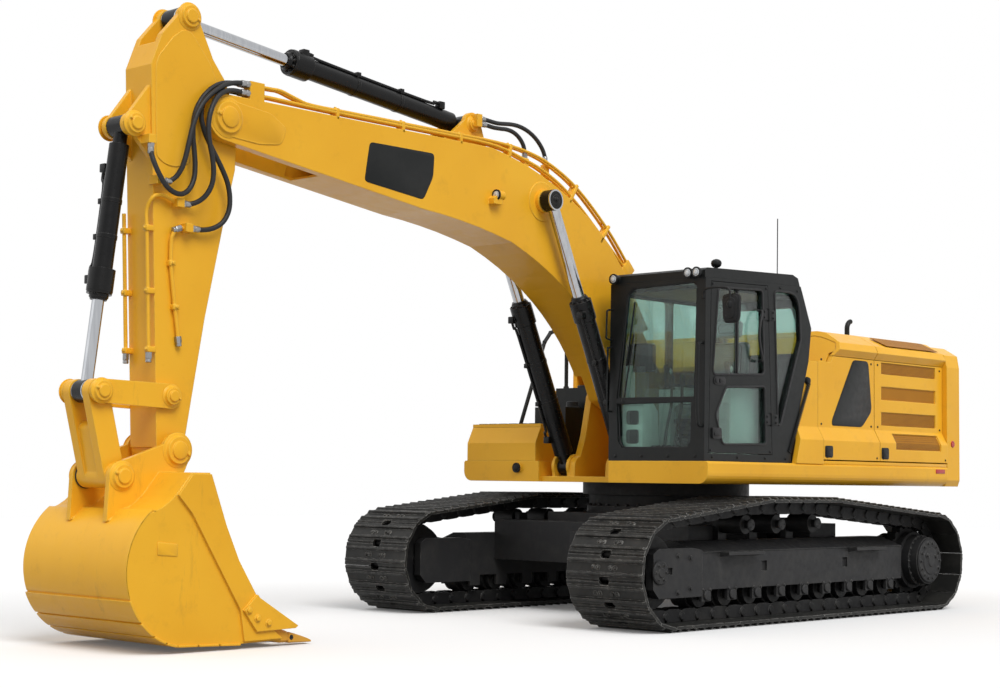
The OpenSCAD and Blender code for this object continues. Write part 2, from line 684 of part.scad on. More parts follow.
module cab_glass() {
    color("#9fb8a8", 0.4) {
        across(cab_y1 - 34, cab_y1 - 28) quarter_window();
        across(cab_y0 + 22, cab_y0 + 28) right_windows();
        along(cab_x - 40, cab_x - 34) front_windows();
        along(-110, -104) rear_window();
    }
}
module cab_door() {
    color("#232427") difference() {
        across(cab_y1 - cab_t + 2, cab_y1) door_shape(0);
        across(cab_y1 - 100, cab_y1 + 50) door_windows();
    }
}
module cab_door_glass() {
    color("#9fb8a8", 0.4) across(cab_y1 - 30, cab_y1 - 24) door_windows();
}
module seat() {
    color("#2b2b2e") union() {
        box([330, 700, deck_z + cab_t], [780, 1180, 1700]);
        box([300, 690, 1700], [860, 1190, 1850]);
        across(690, 1190) polygon([[300, 1840], [420, 1840], [330, 2420], [220, 2420]]);
        across(800, 1080) polygon([[240, 2400], [320, 2400], [290, 2600], [210, 2600]]);
    }
}
module consoles() {
    color("#303236") {
        for (y = [560, 1200]) union() {
            box([420, y, deck_z + cab_t], [820, y + 120, 1960]);
            translate([760, y + 60, 1950]) cylinder(r = 18, h = 190);
            translate([760, y + 60, 2120]) sphere(r = 32);
        }
        union() {
            box([1150, 500, deck_z + cab_t], [1200, 560, 2150]);
            box([1130, 496, 2100], [1170, 760, 2330]);
        }
    }
}
module mirror_left() {
    color("#1c1c1e") union() {
        tube([[cab_x - 16, cab_y1 - 20, 2700], [cab_x + 30, cab_y1 + 60, 2730], [cab_x + 38, cab_y1 + 290,
            2640]], 13);
        across(cab_y1 + 205, cab_y1 + 380) rounded([cab_x + 14, 2440], [cab_x + 62, 2680], 20);
    }
}

// Boom
module boom_shape(t) {
    r0 = 190 - t;
    r1 = 165 - t;
    top = concat([boom_point([0, 0]) + r0 * [cos(boom_slope + 125), sin(boom_slope + 125)]],
        [for (p = bend([1000, 906 - t], [1800, 1335 - t], [2900, 1115 - t], 14)) boom_point(p)],
        [nose + r1 * [cos(boom_slope + 66), sin(boom_slope + 66)]]);
    low = concat([nose + r1 * [cos(boom_slope - 100), sin(boom_slope - 100)]],
        [for (p = bend([3400, 290 + t], [2900, 440 + t], [2400, 500 + t], 5)) boom_point(p)],
        [for (p = bend([2400, 500 + t], [1240, 515 + t], [590, -140 + t], 12)) boom_point(p)],
        [boom_point([0, 0]) + r0 * [cos(boom_slope - 78), sin(boom_slope - 78)]]);
    polygon(concat(top, low));
    translate(boom_foot) circle(r = r0);
    translate(nose) circle(r = r1);
}
module boom() {
    half = boom_w / 2;
    fork = stick_w / 2 + 10;
    color("#e6a838") difference() {
        union() {
            across(-half, half) boom_shape(0);
            both_sides() pin_y(boom_eye, 95, half - 10, boom_cyl_y - 60);
            both_sides() across(95, 135) union() {
                translate(stick_cyl_foot) circle(r = 95);
                polygon([stick_cyl_foot + [-92, 20], stick_cyl_foot + [92, 20], boom_point([3330, 960]),
                    boom_point([2800, 1060])]);
            }
            both_sides() pin_y(stick_cyl_foot, 44, 80, 150);
            box([hose_port_x - 130, 163, 3840], [hose_port_x, half, 3985]);
            box(cylinder_hoses[0][0] - [0, 40, 78], cylinder_hoses[0][0] + [55, 45, 25]);
            for (p = pipe_stands) box(p - [26, 26, 200], p + [26, 26, 0]);
            across(half - 5, half + 62) polygon([[2560, 3395], [2660, 3395], [2660, 3440], [2590, 3490],
                [2560, 3490]]);
            translate([2540, half + 42, 3472]) rotate([0, 90, 0]) cylinder(r = lamp_r, h = 75);
        }
        both_sides() across(foot_w, half + 60) translate(boom_foot) circle(r = 770);
        across(-foot_w + plate_t, foot_w - plate_t) intersection() {
            boom_hollow();
            translate(boom_foot) circle(r = 850);
        }
        across(-half + plate_t, half - plate_t) difference() {
            boom_hollow();
            translate(boom_foot) circle(r = 800);
        }
        across(-fork, fork) union() {
            translate(nose) circle(r = 470);
            translate(nose) rotate(stick_slope - 150) square([700, 900]);
        }
        pin_y(boom_foot, pin_r + 0.3, -half - 10, half + 10);
        pin_y(nose, pin_r + 0.3, -half + 18, half - 18);
    }
}
module boom_hollow() {
    difference() {
        boom_shape(plate_t);
        translate(boom_foot) circle(r = 230);
        translate(nose) circle(r = 900);
    }
}
module barrel(p, q, y, length, r, bore, eye_r, eye_w) {
    d = (q - p) / norm(q - p);
    difference() {
        union() {
            bar(p + 135 * d, p + length * d, y, r);
            bar(p + (length - 170) * d, p + length * d, y, r + collar);
            pin_y(p, eye_r, y - eye_w, y + eye_w);
            bar(p, p + 150 * d, y, r * 0.7);
        }
        bar(p + 200 * d, p + (length + 10) * d, y, bore);
        pin_y(p, 44.3, y - 200, y + 200);
    }
}
module rod(p, q, y, inside, r, eye_r, eye_w) {
    d = (q - p) / norm(q - p);
    bar(p + inside * d, q, y, r);
    pin_y(q, eye_r, y - eye_w, y + eye_w);
}
module boom_cylinder_barrels() {
    color("#1f2022") for (y = [-boom_cyl_y, boom_cyl_y]) barrel(boom_cyl_foot, boom_eye, y, 1540,
        boom_cyl_r, boom_rod_r + 0.3, 76, 58);
}
module boom_cylinder_rods() {
    color("#c9ccd0") for (y = [-boom_cyl_y, boom_cyl_y]) rod(boom_cyl_foot, boom_eye, y, 900, boom_rod_r,
        88, 55);
}

// Stick
module stick_shape(t) {
    polygon([for (p = [[-632 + t, 300 + t], [-398 + t, 132 + t], [-286, 8 + t], [-100, -118 + t], [125,
        -168 + t], [321, -196 + t],
        [652, -169 + t], [1423, -124 + t], [stick_len, -105 + t], [stick_len, 116 - t], [300, 536 - t],
        [-200 + t, 636 - t], [-437 + t, 586 - t], [-632 + t, 466 - t]]) stick_point(p)]);
}
module stick() {
    half = stick_w / 2;
    color("#e6a838") difference() {
        union() {
            across(-half, half) difference() {
                stick_shape(0);
                translate(stick_point([stick_len + 200, 0])) rotate(stick_slope) square([400, 400],
                    center = true);
            }
            across(-half, half) translate(stick_eye) circle(r = 85);
            across(-half, half) translate(bucket_pin) circle(r = 105);
            both_sides() across(88, 128) union() {
                translate(bucket_cyl_foot) circle(r = 78);
                polygon([stick_point([-150, 560]), bucket_cyl_foot + [30, 72], bucket_cyl_foot + [-20,
                    -76], stick_point([480, 450])]);
            }
            pin_y(nose, pin_r, -boom_w / 2 + 23, boom_w / 2 - 23);
            pin_y(bucket_pin, 44, -260, 260);
            pin_y(idler_pin, 44, -stick_w / 2 - 42, stick_w / 2 + 42);
            for (p = hose_ends) box([p[0], 120, p[1]], [p[0] + fitting, 225, p[1] + fitting]);
        }
        across(-half + plate_t, half - plate_t) difference() {
            stick_shape(plate_t + 4);
            translate(nose) circle(r = 150);
            translate(stick_point([-632, 383])) circle(r = 420);
            translate(stick_point([2250, 0])) circle(r = 300);
        }
        across(-95, 95) translate(stick_eye) circle(r = 330);
    }
}
module stick_cylinder_barrel() {
    color("#1f2022") barrel(stick_cyl_foot, stick_eye, 0, 1850, stick_cyl_r, stick_rod_r + 0.3, 80, 88);
}
module stick_cylinder_rod() {
    color("#c9ccd0") rod(stick_cyl_foot, stick_eye, 0, 1050, stick_rod_r, 78, 80);
}
module bucket_cylinder_barrel() {
    color("#1f2022") barrel(bucket_cyl_foot, link_pin, 0, 1180, bucket_cyl_r, bucket_rod_r + 0.3, 72, 80);
}
module bucket_cylinder_rod() {
    color("#c9ccd0") rod(bucket_cyl_foot, link_pin, 0, 780, bucket_rod_r, 76, 62);
}
module idler_links() {
    color("#e0a030") both_sides() difference() {
        across(stick_w / 2 + 6, stick_w / 2 + 38) link_shape(idler_pin, link_pin, 85, 80);
        pin_y(idler_pin, 44.3, stick_w / 2, 260);
    }
}
module power_link() {
    color("#e0a030") difference() {
        union() {
            both_sides() across(76, stick_w / 2) link_shape(link_pin, bucket_ear, 82, 82);
            pin_y(bucket_ear, 82, -stick_w / 2 - 36, stick_w / 2 + 36);
            across(-100, 100) link_shape(link_pin + 0.45 * (bucket_ear - link_pin), bucket_ear, 60, 70);
        }
        pin_y(bucket_ear, 44.3, -200, 200);
    }
}

// Bucket
function bucket_at(p) = bucket_pin + p;
function bucket_back(t) = concat([[150, -150]], bend([250, -270], [330, -370], [440, -405], 4),
    arc([150, -790], 500 - t, 48, -80, 14), [[-300, -1300 + t]]);
module bucket_side(t) {
    polygon([for (p = concat([[0, -150]], bucket_back(t), [[-650, -1290 + t], [-560, -1230], [-240, -745],
        [-127, -509],
        [-52, -318]])) bucket_at(p)]);
}
module bucket() {
    half = bucket_w / 2;
    color("#e0a030") difference() {
        union() {
            across(-half, half) bucket_side(0);
            both_sides() across(stick_w / 2 + 44, stick_w / 2 + 84) union() {
                translate(bucket_pin) circle(r = 115);
                translate(bucket_ear) circle(r = 100);
                polygon([bucket_at([-110, -40]), bucket_at([-60, 98]), bucket_at([480, -90]),
                    bucket_at([547, -190]),
                    bucket_at([560, -480]), bucket_at([100, -500])]);
            }
            both_sides() pin_y(bucket_ear, 44, 100, stick_w / 2 + 95);
            both_sides() across(half - 5, half + side_bar_t) polygon([for (p = [[0, -160], [-60, -314],
                [-135, -505],
                [-248, -740], [-566, -1224], [-640, -1280], [-310, -1284], [-270, -1070], [150, -420],
                    [265, -300],
                [150, -158]]) bucket_at(p)]);
            both_sides() across(half + side_bar_t - 5, half + 2 * side_bar_t) polygon([for (p = [[-400,
                -972], [-422, -996],
                [-764, -1198], [-740, -1214], [-400, -1222], [-285, -1075]]) bucket_at(p)]);
        }
        across(-half + bucket_t, half - bucket_t) translate([-2, 0]) polygon([for (p = concat([[20, -200]],
            [[140, -200]],
            bend([240, -315], [320, -405], [420, -440], 4), arc([150, -790], 470, 48, -80, 14), [[-300,
                -1268], [-700, -1262],
            [-700, -200]])) bucket_at(p)]);
        pin_y(bucket_pin, 44.3, -300, 300);
    }
}
module bucket_teeth() {
    pitch = (bucket_w - 120) / (teeth - 1);
    color("#55565a") for (i = [0 : teeth - 1]) translate([0, -bucket_w / 2 + 60 + i * pitch,
        0]) across(-45, 45)
        polygon([for (p = [[-560, -1229], [-937, -1312], [-937, -1322], [-640, -1300], [-650,
            -1290]]) bucket_at(p)]);
}

car_body();
track_frame_left();
track_frame_right();
track_left();
track_right();
idler_wheels();
sprockets();
final_drives();
bottom_rollers();
carrier_rollers();
swing_ring_lower();
swing_ring_upper();
main_frame();
left_deck();
right_deck();
counterweight();
engine_block();
left_front_panel();
right_front_panel();
hood_front();
engine_hood();
left_front_door();
left_rear_door();
right_rear_door();
hydraulic_tank();
fuel_tank();
toolbox();
toolbox_lid();
handrails();
exhaust_pipe();
cab_frame();
cab_roof();
cab_glass();
cab_door();
cab_door_glass();
seat();
consoles();
mirror_left();
boom();
boom_cylinder_barrels();
boom_cylinder_rods();
stick();
stick_cylinder_barrel();
stick_cylinder_rod();
bucket();
bucket_teeth();
bucket_cylinder_barrel();
bucket_cylinder_rod();
idler_links();
power_link();
hose(nose_hoses[0]);  // nose_hose_1
hose(nose_hoses[1]);  // nose_hose_2
hose(nose_hoses[2]);  // nose_hose_3
hose(nose_hoses[3]);  // nose_hose_4
hose(cylinder_hoses[0]);  // cylinder_hose_1
hose(cylinder_hoses[1]);  // cylinder_hose_2
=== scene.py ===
# %% [markdown]
# # A crawler excavator, dressed over its CAD frame
# The frame comes first: every piece of the machine is already there as a plain solid, in metres, with its
# joints. It could be rebuilt here from nothing, but then looks and mechanics would drift apart. So the
# frame is loaded as it is, and each cell below adds a finish or a finer piece that rides on one of its
# bodies.

# %% Load the frame
import math

import bmesh
import bpy
from mathutils import Matrix, Vector


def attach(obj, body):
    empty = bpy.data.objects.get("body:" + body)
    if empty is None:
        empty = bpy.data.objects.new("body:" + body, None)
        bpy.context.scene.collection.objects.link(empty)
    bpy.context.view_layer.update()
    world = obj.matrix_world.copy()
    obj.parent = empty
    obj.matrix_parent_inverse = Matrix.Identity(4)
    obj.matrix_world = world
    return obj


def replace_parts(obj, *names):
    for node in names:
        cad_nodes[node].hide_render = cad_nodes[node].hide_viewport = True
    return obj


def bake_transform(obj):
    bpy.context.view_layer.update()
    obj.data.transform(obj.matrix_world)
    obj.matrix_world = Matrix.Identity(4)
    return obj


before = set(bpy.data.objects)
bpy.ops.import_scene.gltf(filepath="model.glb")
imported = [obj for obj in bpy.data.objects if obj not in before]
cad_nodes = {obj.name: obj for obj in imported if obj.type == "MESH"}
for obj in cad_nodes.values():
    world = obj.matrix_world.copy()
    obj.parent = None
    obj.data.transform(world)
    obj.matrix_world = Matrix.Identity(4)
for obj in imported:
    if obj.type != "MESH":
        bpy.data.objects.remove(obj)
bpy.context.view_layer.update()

# %% [markdown]
# ## The camera
# The photograph was taken from the front left corner, a little over a metre above the ground, with a longer
# lens. A camera could be aimed with a Track To constraint, but a constraint can't hold the slight roll of a
# hand-held shot. So the camera's three axes are worked out from yaw, pitch and roll and go straight into
# its matrix.

# %% Camera
CAMERA_PLACE = Vector((13.14248, 10.24423, 1.17233))
CAMERA_YAW, CAMERA_PITCH, CAMERA_ROLL = 3.89943, 0.07116, 0.01281
CAMERA_SENSOR, CAMERA_LENS = 36, 64.745
CAMERA_SHIFT = (0.00576, 0.00622)

ahead = Vector((math.cos(CAMERA_YAW) * math.cos(CAMERA_PITCH), math.sin(CAMERA_YAW) * math.cos(CAMERA_PITCH),
                math.sin(CAMERA_PITCH)))
level_right = ahead.cross(Vector((0, 0, 1))).normalized()
level_up = level_right.cross(ahead)
camera_right = math.cos(CAMERA_ROLL) * level_right + math.sin(CAMERA_ROLL) * level_up
camera_up = math.cos(CAMERA_ROLL) * level_up - math.sin(CAMERA_ROLL) * level_right

camera = bpy.data.objects.new("camera", bpy.data.cameras.new("camera"))
camera.data.sensor_width = CAMERA_SENSOR
camera.data.lens = CAMERA_LENS
camera.data.shift_x, camera.data.shift_y = CAMERA_SHIFT
camera.data.clip_end = 200
camera_turn = Matrix((camera_right, camera_up, -ahead)).transposed().to_4x4()
camera.matrix_world = Matrix.Translation(CAMERA_PLACE) @ camera_turn
bpy.context.scene.collection.objects.link(camera)
bpy.context.scene.camera = camera
print("camera: lens", camera.data.lens, "mm at", [round(v, 2) for v in camera.location])

# %% [markdown]
# ## Node helpers
# A procedural material is a small graph. Each graph below is written with two short helpers: one makes a
# material and hands over its shader, the other adds a node and fills its sockets. Plain numbers go on the
# sockets themselves, so that they survive an export.

# %% Node helpers
def srgb(red, green, blue):
    """A colour as a picture editor shows it, 0 to 255, as the linear values that Blender works with."""
    return tuple(((c / 255 + 0.055) / 1.055) ** 2.4 if c > 10 else c / 255 / 12.92
                 for c in (red, green, blue)) + (1,)


def new_material(name, **sockets):
    material = bpy.data.materials.new(name)
    material.use_nodes = True
    shader = material.node_tree.nodes["Principled BSDF"]
    for socket, value in sockets.items():
        shader.inputs[socket.replace("_", " ")].default_value = value
    return material, shader


def add(material, kind, **sockets):
    node = material.node_tree.nodes.new("ShaderNode" + kind)
    for socket, value in sockets.items():
        name = socket.replace("_", " ")
        if isinstance(value, bpy.types.NodeSocket):
            material.node_tree.links.new(value, node.inputs[name])
        else:
            node.inputs[name].default_value = value
    return node


def join_nodes(material, output, target):
    material.node_tree.links.new(output, target)


def place(material):
    return add(material, "TexCoord").outputs["Object"]


def noise(material, scale, detail=4, rough=0.55, stretch=None):
    point = place(material)
    if stretch:
        point = add(material, "Mapping", Vector=point, Scale=stretch).outputs["Vector"]
    return add(material, "TexNoise", Vector=point, Scale=scale, Detail=detail, Roughness=rough).outputs["Fac"]


def ramp(material, value, stops):
    """A value turned into a colour by stops of (position, colour)."""
    node = add(material, "ValToRGB", Fac=value)
    elements = node.color_ramp.elements
    while len(elements) < len(stops):
        elements.new(0.5)
    for element, (position, colour) in zip(elements, stops):
        element.position = position
        element.color = colour
    return node.outputs["Color"]


def grey(value):
    return (value, value, value, 1)


def mix(material, share, first, second):
    node = material.node_tree.nodes.new("ShaderNodeMix")
    node.data_type = "RGBA"
    for socket, value in zip((node.inputs["Factor"], node.inputs[6], node.inputs[7]), (share, first, second)):
        if isinstance(value, bpy.types.NodeSocket):
            join_nodes(material, value, socket)
        else:
            socket.default_value = value
    return node.outputs[2]


def rounded_edges(material, radius):
    """A normal that turns smoothly round each sharp edge, as paint does."""
    node = add(material, "Bevel", Radius=radius)
    node.samples = 4
    return node.outputs["Normal"]


def bump(material, shader, height, strength, distance, base=None):
    node = add(material, "Bump", Height=height, Strength=strength, Distance=distance)
    if base is not None:
        join_nodes(material, base, node.inputs["Normal"])
    join_nodes(material, node.outputs["Normal"], shader.inputs["Normal"])


def edge_mask(material, radius, low, high):
    """White along sharp edges: the rounded normal and the true one part there."""
    turned = rounded_edges(material, radius)
    true = add(material, "NewGeometry").outputs["Normal"]
    both = material.node_tree.nodes.new("ShaderNodeVectorMath")
    both.operation = "DOT_PRODUCT"
    join_nodes(material, turned, both.inputs[0])
    join_nodes(material, true, both.inputs[1])
    return ramp(material, both.outputs["Value"], [(low, grey(1)), (high, grey(0))])


print("node helpers ready")

# %% [markdown]
# ## Yellow paint
# The machine wears a golden yellow enamel, thick and a little uneven, as it comes from a spray gun on
# welded plate. A flat colour would look like plastic. Three things make it paint: a faint drift of tone
# over each panel, a fine orange-peel bump, and edges that are rounded for the light, so that every fold
# catches a highlight. A lighter yellow is also painted along the edges, as a painted highlight.

# %% Yellow paint
PAINT_TONE = srgb(241, 181, 44)
PAINT_SHADE = srgb(232, 169, 36)
PAINT_EDGE_HIGHLIGHT = srgb(248, 200, 74)


def yellow_paint(name, scuffs=0.0):
    material, shader = new_material(name, Coat_Weight=0.05, Coat_Roughness=0.18, Specular_IOR_Level=0.21)
    drift = noise(material, 0.9, 5)
    colour = mix(material, ramp(material, drift, [(0.35, grey(0)), (0.7, grey(1))]), PAINT_TONE, PAINT_SHADE)
    # Edges are painted a lighter yellow: a painted highlight along every fold.
    colour = mix(material, edge_mask(material, 0.012, 0.80, 0.985), colour, PAINT_EDGE_HIGHLIGHT)
    dust = ramp(material, noise(material, 5.5, 8, 0.7), [(0.56, grey(0)), (0.82, grey(0.55))])
    colour = mix(material, dust, colour, srgb(206, 148, 40))
    if scuffs:
        scratch = ramp(material, noise(material, 7, 9, 0.75, (1, 1, 0.16)),
                       [(0.60, grey(0)), (0.74, grey(scuffs))])
        colour = mix(material, scratch, colour, srgb(170, 124, 48))
    join_nodes(material, colour, shader.inputs["Base Color"])
    rough = ramp(material, noise(material, 14, 6, 0.65), [(0.3, grey(0.30)), (0.75, grey(0.46))])
    join_nodes(material, rough, shader.inputs["Roughness"])
    bump(material, shader, noise(material, 160, 3), 0.10, 0.0015, rounded_edges(material, 0.009))
    return material


paint = yellow_paint("yellow_paint")
paint_worn = yellow_paint("yellow_paint_worn", scuffs=0.5)
print("paints:", paint.name, paint_worn.name)

# %% [markdown]
# ## Dark finishes
# The cab, the cylinders and the whole undercarriage are black or charcoal, yet each reads differently: the
# cab is a fine satin, the barrels are glossier, the running gear is matt with dust in it, and the shoes are
# bare where the ground rubs them, with a painted highlight on their grouser tips as well. One function gives
# all of these, because they differ only in tone, gloss, grain and how light their edges are made: by wear,
# and on the shoes also by a painted highlight.

# %% Dark finishes
EDGE_ROUND = 0.006


def dark_finish(name, tone, dust_tone, dust, rough_low, rough_high, grain, edge, edge_tone, metal=0.0):
    material, shader = new_material(name, Metallic=metal, Specular_IOR_Level=0.2)
    film = ramp(material, noise(material, 4.0, 8, 0.68), [(0.45, grey(0)), (0.80, grey(dust))])
    colour = mix(material, film, tone, dust_tone)
    if edge:
        # Lighter edges: wear, and on the track shoes also a painted highlight on the grouser tips.
        worn_and_highlit_edges = edge_mask(material, EDGE_ROUND * 1.6, 0.72, 0.97)
        patchy = ramp(material, noise(material, 22, 5), [(0.36, grey(0)), (0.62, grey(edge))])
        share = material.node_tree.nodes.new("ShaderNodeMath")
        share.operation = "MULTIPLY"
        join_nodes(material, worn_and_highlit_edges, share.inputs[0])
        join_nodes(material, patchy, share.inputs[1])
        colour = mix(material, share.outputs[0], colour, edge_tone)
    join_nodes(material, colour, shader.inputs["Base Color"])
    rough = ramp(material, noise(material, 18, 6, 0.6), [(0.3, grey(rough_low)), (0.72, grey(rough_high))])
    join_nodes(material, rough, shader.inputs["Roughness"])
    bump(material, shader, noise(material, grain, 4), 0.16, 0.0012, rounded_edges(material, EDGE_ROUND))
    return material


DUST = srgb(84, 82, 77)
BARE = srgb(150, 148, 144)
cab_black = dark_finish("cab_black", srgb(21, 23, 23), DUST, 0.08, 0.34, 0.48, 320, 0.0, BARE)
barrel_black = dark_finish("barrel_black", srgb(11, 11, 12), DUST, 0.07, 0.22, 0.38, 200, 0.25, BARE)
frame_grey = dark_finish("frame_grey", srgb(40, 40, 41), DUST, 0.25, 0.42, 0.62, 150, 0.30, BARE)
roller_grey = dark_finish("roller_grey", srgb(24, 24, 25), DUST, 0.24, 0.45, 0.65, 150, 0.35, BARE)
# The shoes' light edges are rubbed bare steel and also a painted highlight on the grouser tips.
shoe_steel = dark_finish("shoe_steel", srgb(36, 36, 35), DUST, 0.36, 0.34, 0.56, 120, 0.95,
                         srgb(172, 170, 165), 0.15)
ring_black = dark_finish("ring_black", srgb(14, 14, 15), DUST, 0.20, 0.42, 0.60, 160, 0.2, BARE)
plastic_black = dark_finish("plastic_black", srgb(26, 27, 28), DUST, 0.06, 0.42, 0.58, 420, 0.0, BARE)
engine_grey = dark_finish("engine_grey", srgb(78, 80, 84), DUST, 0.35, 0.45, 0.65, 140, 0.3, BARE)
tooth_steel = dark_finish("tooth_steel", srgb(222, 160, 52), srgb(176, 146, 92), 0.40, 0.34, 0.56, 120,
                          0.7, BARE, 0.1)
print("dark finishes:", [m.name for m in bpy.data.materials if m.name.endswith(("black", "grey", "steel"))])

# %% [markdown]
# ## Chrome, glass and small finishes
# A cylinder rod is hard chrome: a mirror with faint lengthwise polishing lines. The cab's glass is a green
# solar tint. Glass could be mixed from a transparent and a glossy shader, but one Principled shader with
# transmission keeps its meaning when the model leaves Blender. Lamp lenses, reflectors and rubber are given
# here too, as they turn up all over the machine.

# %% Chrome, glass and small finishes
def chrome_finish():
    material, shader = new_material("rod_chrome", Metallic=1.0)
    lines = noise(material, 60, 3, 0.5, (1, 1, 0.03))
    join_nodes(material, ramp(material, lines, [(0.3, srgb(168, 170, 174)), (0.7, srgb(184, 186, 189))]),
               shader.inputs["Base Color"])
    join_nodes(material, ramp(material, noise(material, 35, 4), [(0.3, grey(0.07)), (0.7, grey(0.13))]),
               shader.inputs["Roughness"])
    bump(material, shader, lines, 0.02, 0.0003)
    return material


def glass_finish(name, tint, rough):
    material, shader = new_material(name, Transmission_Weight=1.0, IOR=1.38, Alpha=0.85)
    film = ramp(material, noise(material, 3.5, 6, 0.65), [(0.4, grey(rough)), (0.8, grey(rough + 0.05))])
    join_nodes(material, film, shader.inputs["Roughness"])
    shade = ramp(material, noise(material, 0.8, 2),
                 [(0.3, tint), (0.7, tuple(0.94 * c for c in tint[:3]) + (1,))])
    join_nodes(material, shade, shader.inputs["Base Color"])
    return material


def moulded_rubber(name, tone):
    material, shader = new_material(name, Specular_IOR_Level=0.35)
    tone_drift = ramp(material, noise(material, 25, 5),
                      [(0.3, tone), (0.75, tuple(1.5 * c for c in tone[:3]) + (1,))])
    join_nodes(material, tone_drift, shader.inputs["Base Color"])
    join_nodes(material, ramp(material, noise(material, 60, 4), [(0.3, grey(0.42)), (0.7, grey(0.6))]),
               shader.inputs["Roughness"])
    bump(material, shader, noise(material, 500, 3), 0.2, 0.0008)
    return material


def lens_finish(name, tone, ribs):
    """A moulded lens: ribs of light and shade behind a glossy cover."""
    material, shader = new_material(name, Coat_Weight=0.25, Coat_Roughness=0.04, Roughness=0.3)
    wave = add(material, "TexWave", Vector=place(material), Scale=ribs, Distortion=0.4)
    dim = tuple(0.45 * c for c in tone[:3]) + (1,)
    join_nodes(material, ramp(material, wave.outputs["Fac"], [(0.2, dim), (0.8, tone)]),
               shader.inputs["Base Color"])
    bump(material, shader, wave.outputs["Fac"], 0.3, 0.002)
    return material


rod_chrome = chrome_finish()
tinted_glass = glass_finish("tinted_glass", srgb(180, 212, 203), 0.0)
hose_rubber = moulded_rubber("hose_rubber", srgb(26, 26, 27))
seal_rubber = moulded_rubber("seal_rubber", srgb(20, 20, 21))
clear_lens = lens_finish("clear_lens", srgb(214, 220, 224), 60)
red_lens = lens_finish("red_lens", srgb(206, 24, 8), 90)
fitting_steel = dark_finish("fitting_steel", srgb(150, 150, 150), srgb(110, 108, 104), 0.3, 0.25, 0.42, 200,
                            0.3, BARE, 0.9)
print("rods, glass, rubber, lenses and fittings ready")

# %% [markdown]
# ## Finishes on the CAD solids
# Most of the solids already have the right shape, so they keep it and get a finish in their own material
# slots. Listing which finish goes on which piece in one table keeps the whole paint scheme in view.

# %% Finishes on the CAD solids
PAINT_SCHEME = {
    paint: ["main_frame", "left_deck", "right_deck", "counterweight", "left_front_panel",
            "right_front_panel", "hood_front", "engine_hood", "left_front_door", "left_rear_door",
            "right_rear_door", "hydraulic_tank", "toolbox", "toolbox_lid", "boom", "stick"],
    paint_worn: ["bucket", "idler_links", "power_link"],
    tooth_steel: ["bucket_teeth"],
    frame_grey: ["car_body", "track_frame_left", "track_frame_right", "final_drives"],
    shoe_steel: ["track_left", "track_right"],
    roller_grey: ["idler_wheels", "sprockets", "bottom_rollers", "carrier_rollers"],
    ring_black: ["swing_ring_lower", "swing_ring_upper"],
    engine_grey: ["engine_block"],
    cab_black: ["cab_frame", "cab_roof", "cab_door", "handrails", "exhaust_pipe", "fuel_tank"],
    tinted_glass: ["cab_glass", "cab_door_glass"],
    barrel_black: ["boom_cylinder_barrels", "stick_cylinder_barrel", "bucket_cylinder_barrel"],
    rod_chrome: ["boom_cylinder_rods", "stick_cylinder_rod", "bucket_cylinder_rod"],
    hose_rubber: ["nose_hose_1", "nose_hose_2", "nose_hose_3", "nose_hose_4", "cylinder_hose_1",
                  "cylinder_hose_2"],
}
for finish, names in PAINT_SCHEME.items():
    for name in names:
        for material_slot in cad_nodes[name].material_slots:
            material_slot.material = finish
left_plain = sorted(set(cad_nodes) - {name for names in PAINT_SCHEME.values() for name in names})
print("solids finished:", sum(len(names) for names in PAINT_SCHEME.values()), "left plain:", left_plain)

# %% [markdown]
# ## Floor, backdrop and light
# The machine stands on a white sweep under broad, soft light. A white picture could be had by flooding the
# floor with lamps, but that would bleach the paint as well. Instead the floor and the sky glow a little for
# the camera, for reflections and for what is seen through glass, and the lamps stay at a level where
# colours come out as they were mixed. The floor also throws less light back up than it shows, so that the
# undersides stay in shade.

# %% Floor, backdrop and light
def seen_rays(tree):
    """1 for camera, glossy and transmission rays, 0 for the rest."""
    path = tree.nodes.new("ShaderNodeLightPath")
    total = path.outputs["Is Camera Ray"]
    for kind in ("Is Glossy Ray", "Is Transmission Ray"):
        either = tree.nodes.new("ShaderNodeMath")
        either.operation = "MAXIMUM"
        tree.links.new(total, either.inputs[0])
        tree.links.new(path.outputs[kind], either.inputs[1])
        total = either.outputs[0]
    return total


AMBIENT = 0.56
world = bpy.data.worlds.new("studio")
bpy.context.scene.world = world
world.use_nodes = True
sky = world.node_tree.nodes["Background"]
strength = world.node_tree.nodes.new("ShaderNodeMapRange")
strength.inputs["To Min"].default_value = AMBIENT
strength.inputs["To Max"].default_value = 1.0
world.node_tree.links.new(seen_rays(world.node_tree), strength.inputs["Value"])
world.node_tree.links.new(strength.outputs["Result"], sky.inputs["Strength"])
sky.inputs["Color"].default_value = (1, 1, 1, 1)

FLOOR_SIZE = 60
FLOOR_GLOW = 0.08
FLOOR_BOUNCE, FLOOR_WHITE = 0.35, 0.86
floor_mesh = bpy.data.meshes.new("floor")
half_floor = FLOOR_SIZE / 2
floor_mesh.from_pydata([(-half_floor, -half_floor, 0), (half_floor, -half_floor, 0),
                        (half_floor, half_floor, 0), (-half_floor, half_floor, 0)], [], [(0, 1, 2, 3)])
floor = bpy.data.objects.new("floor", floor_mesh)
bpy.context.scene.collection.objects.link(floor)
floor_material, floor_shader = new_material("white_sweep", Roughness=0.9, Specular_IOR_Level=0.0)
bounce = mix(floor_material, seen_rays(floor_material.node_tree), grey(FLOOR_BOUNCE), grey(FLOOR_WHITE))
join_nodes(floor_material, bounce, floor_shader.inputs["Base Color"])
floor_shader.inputs["Emission Color"].default_value = grey(1)
glow = floor_material.node_tree.nodes.new("ShaderNodeMath")
glow.operation = "MULTIPLY"
join_nodes(floor_material, seen_rays(floor_material.node_tree), glow.inputs[0])
glow.inputs[1].default_value = FLOOR_GLOW
join_nodes(floor_material, glow.outputs[0], floor_shader.inputs["Emission Strength"])
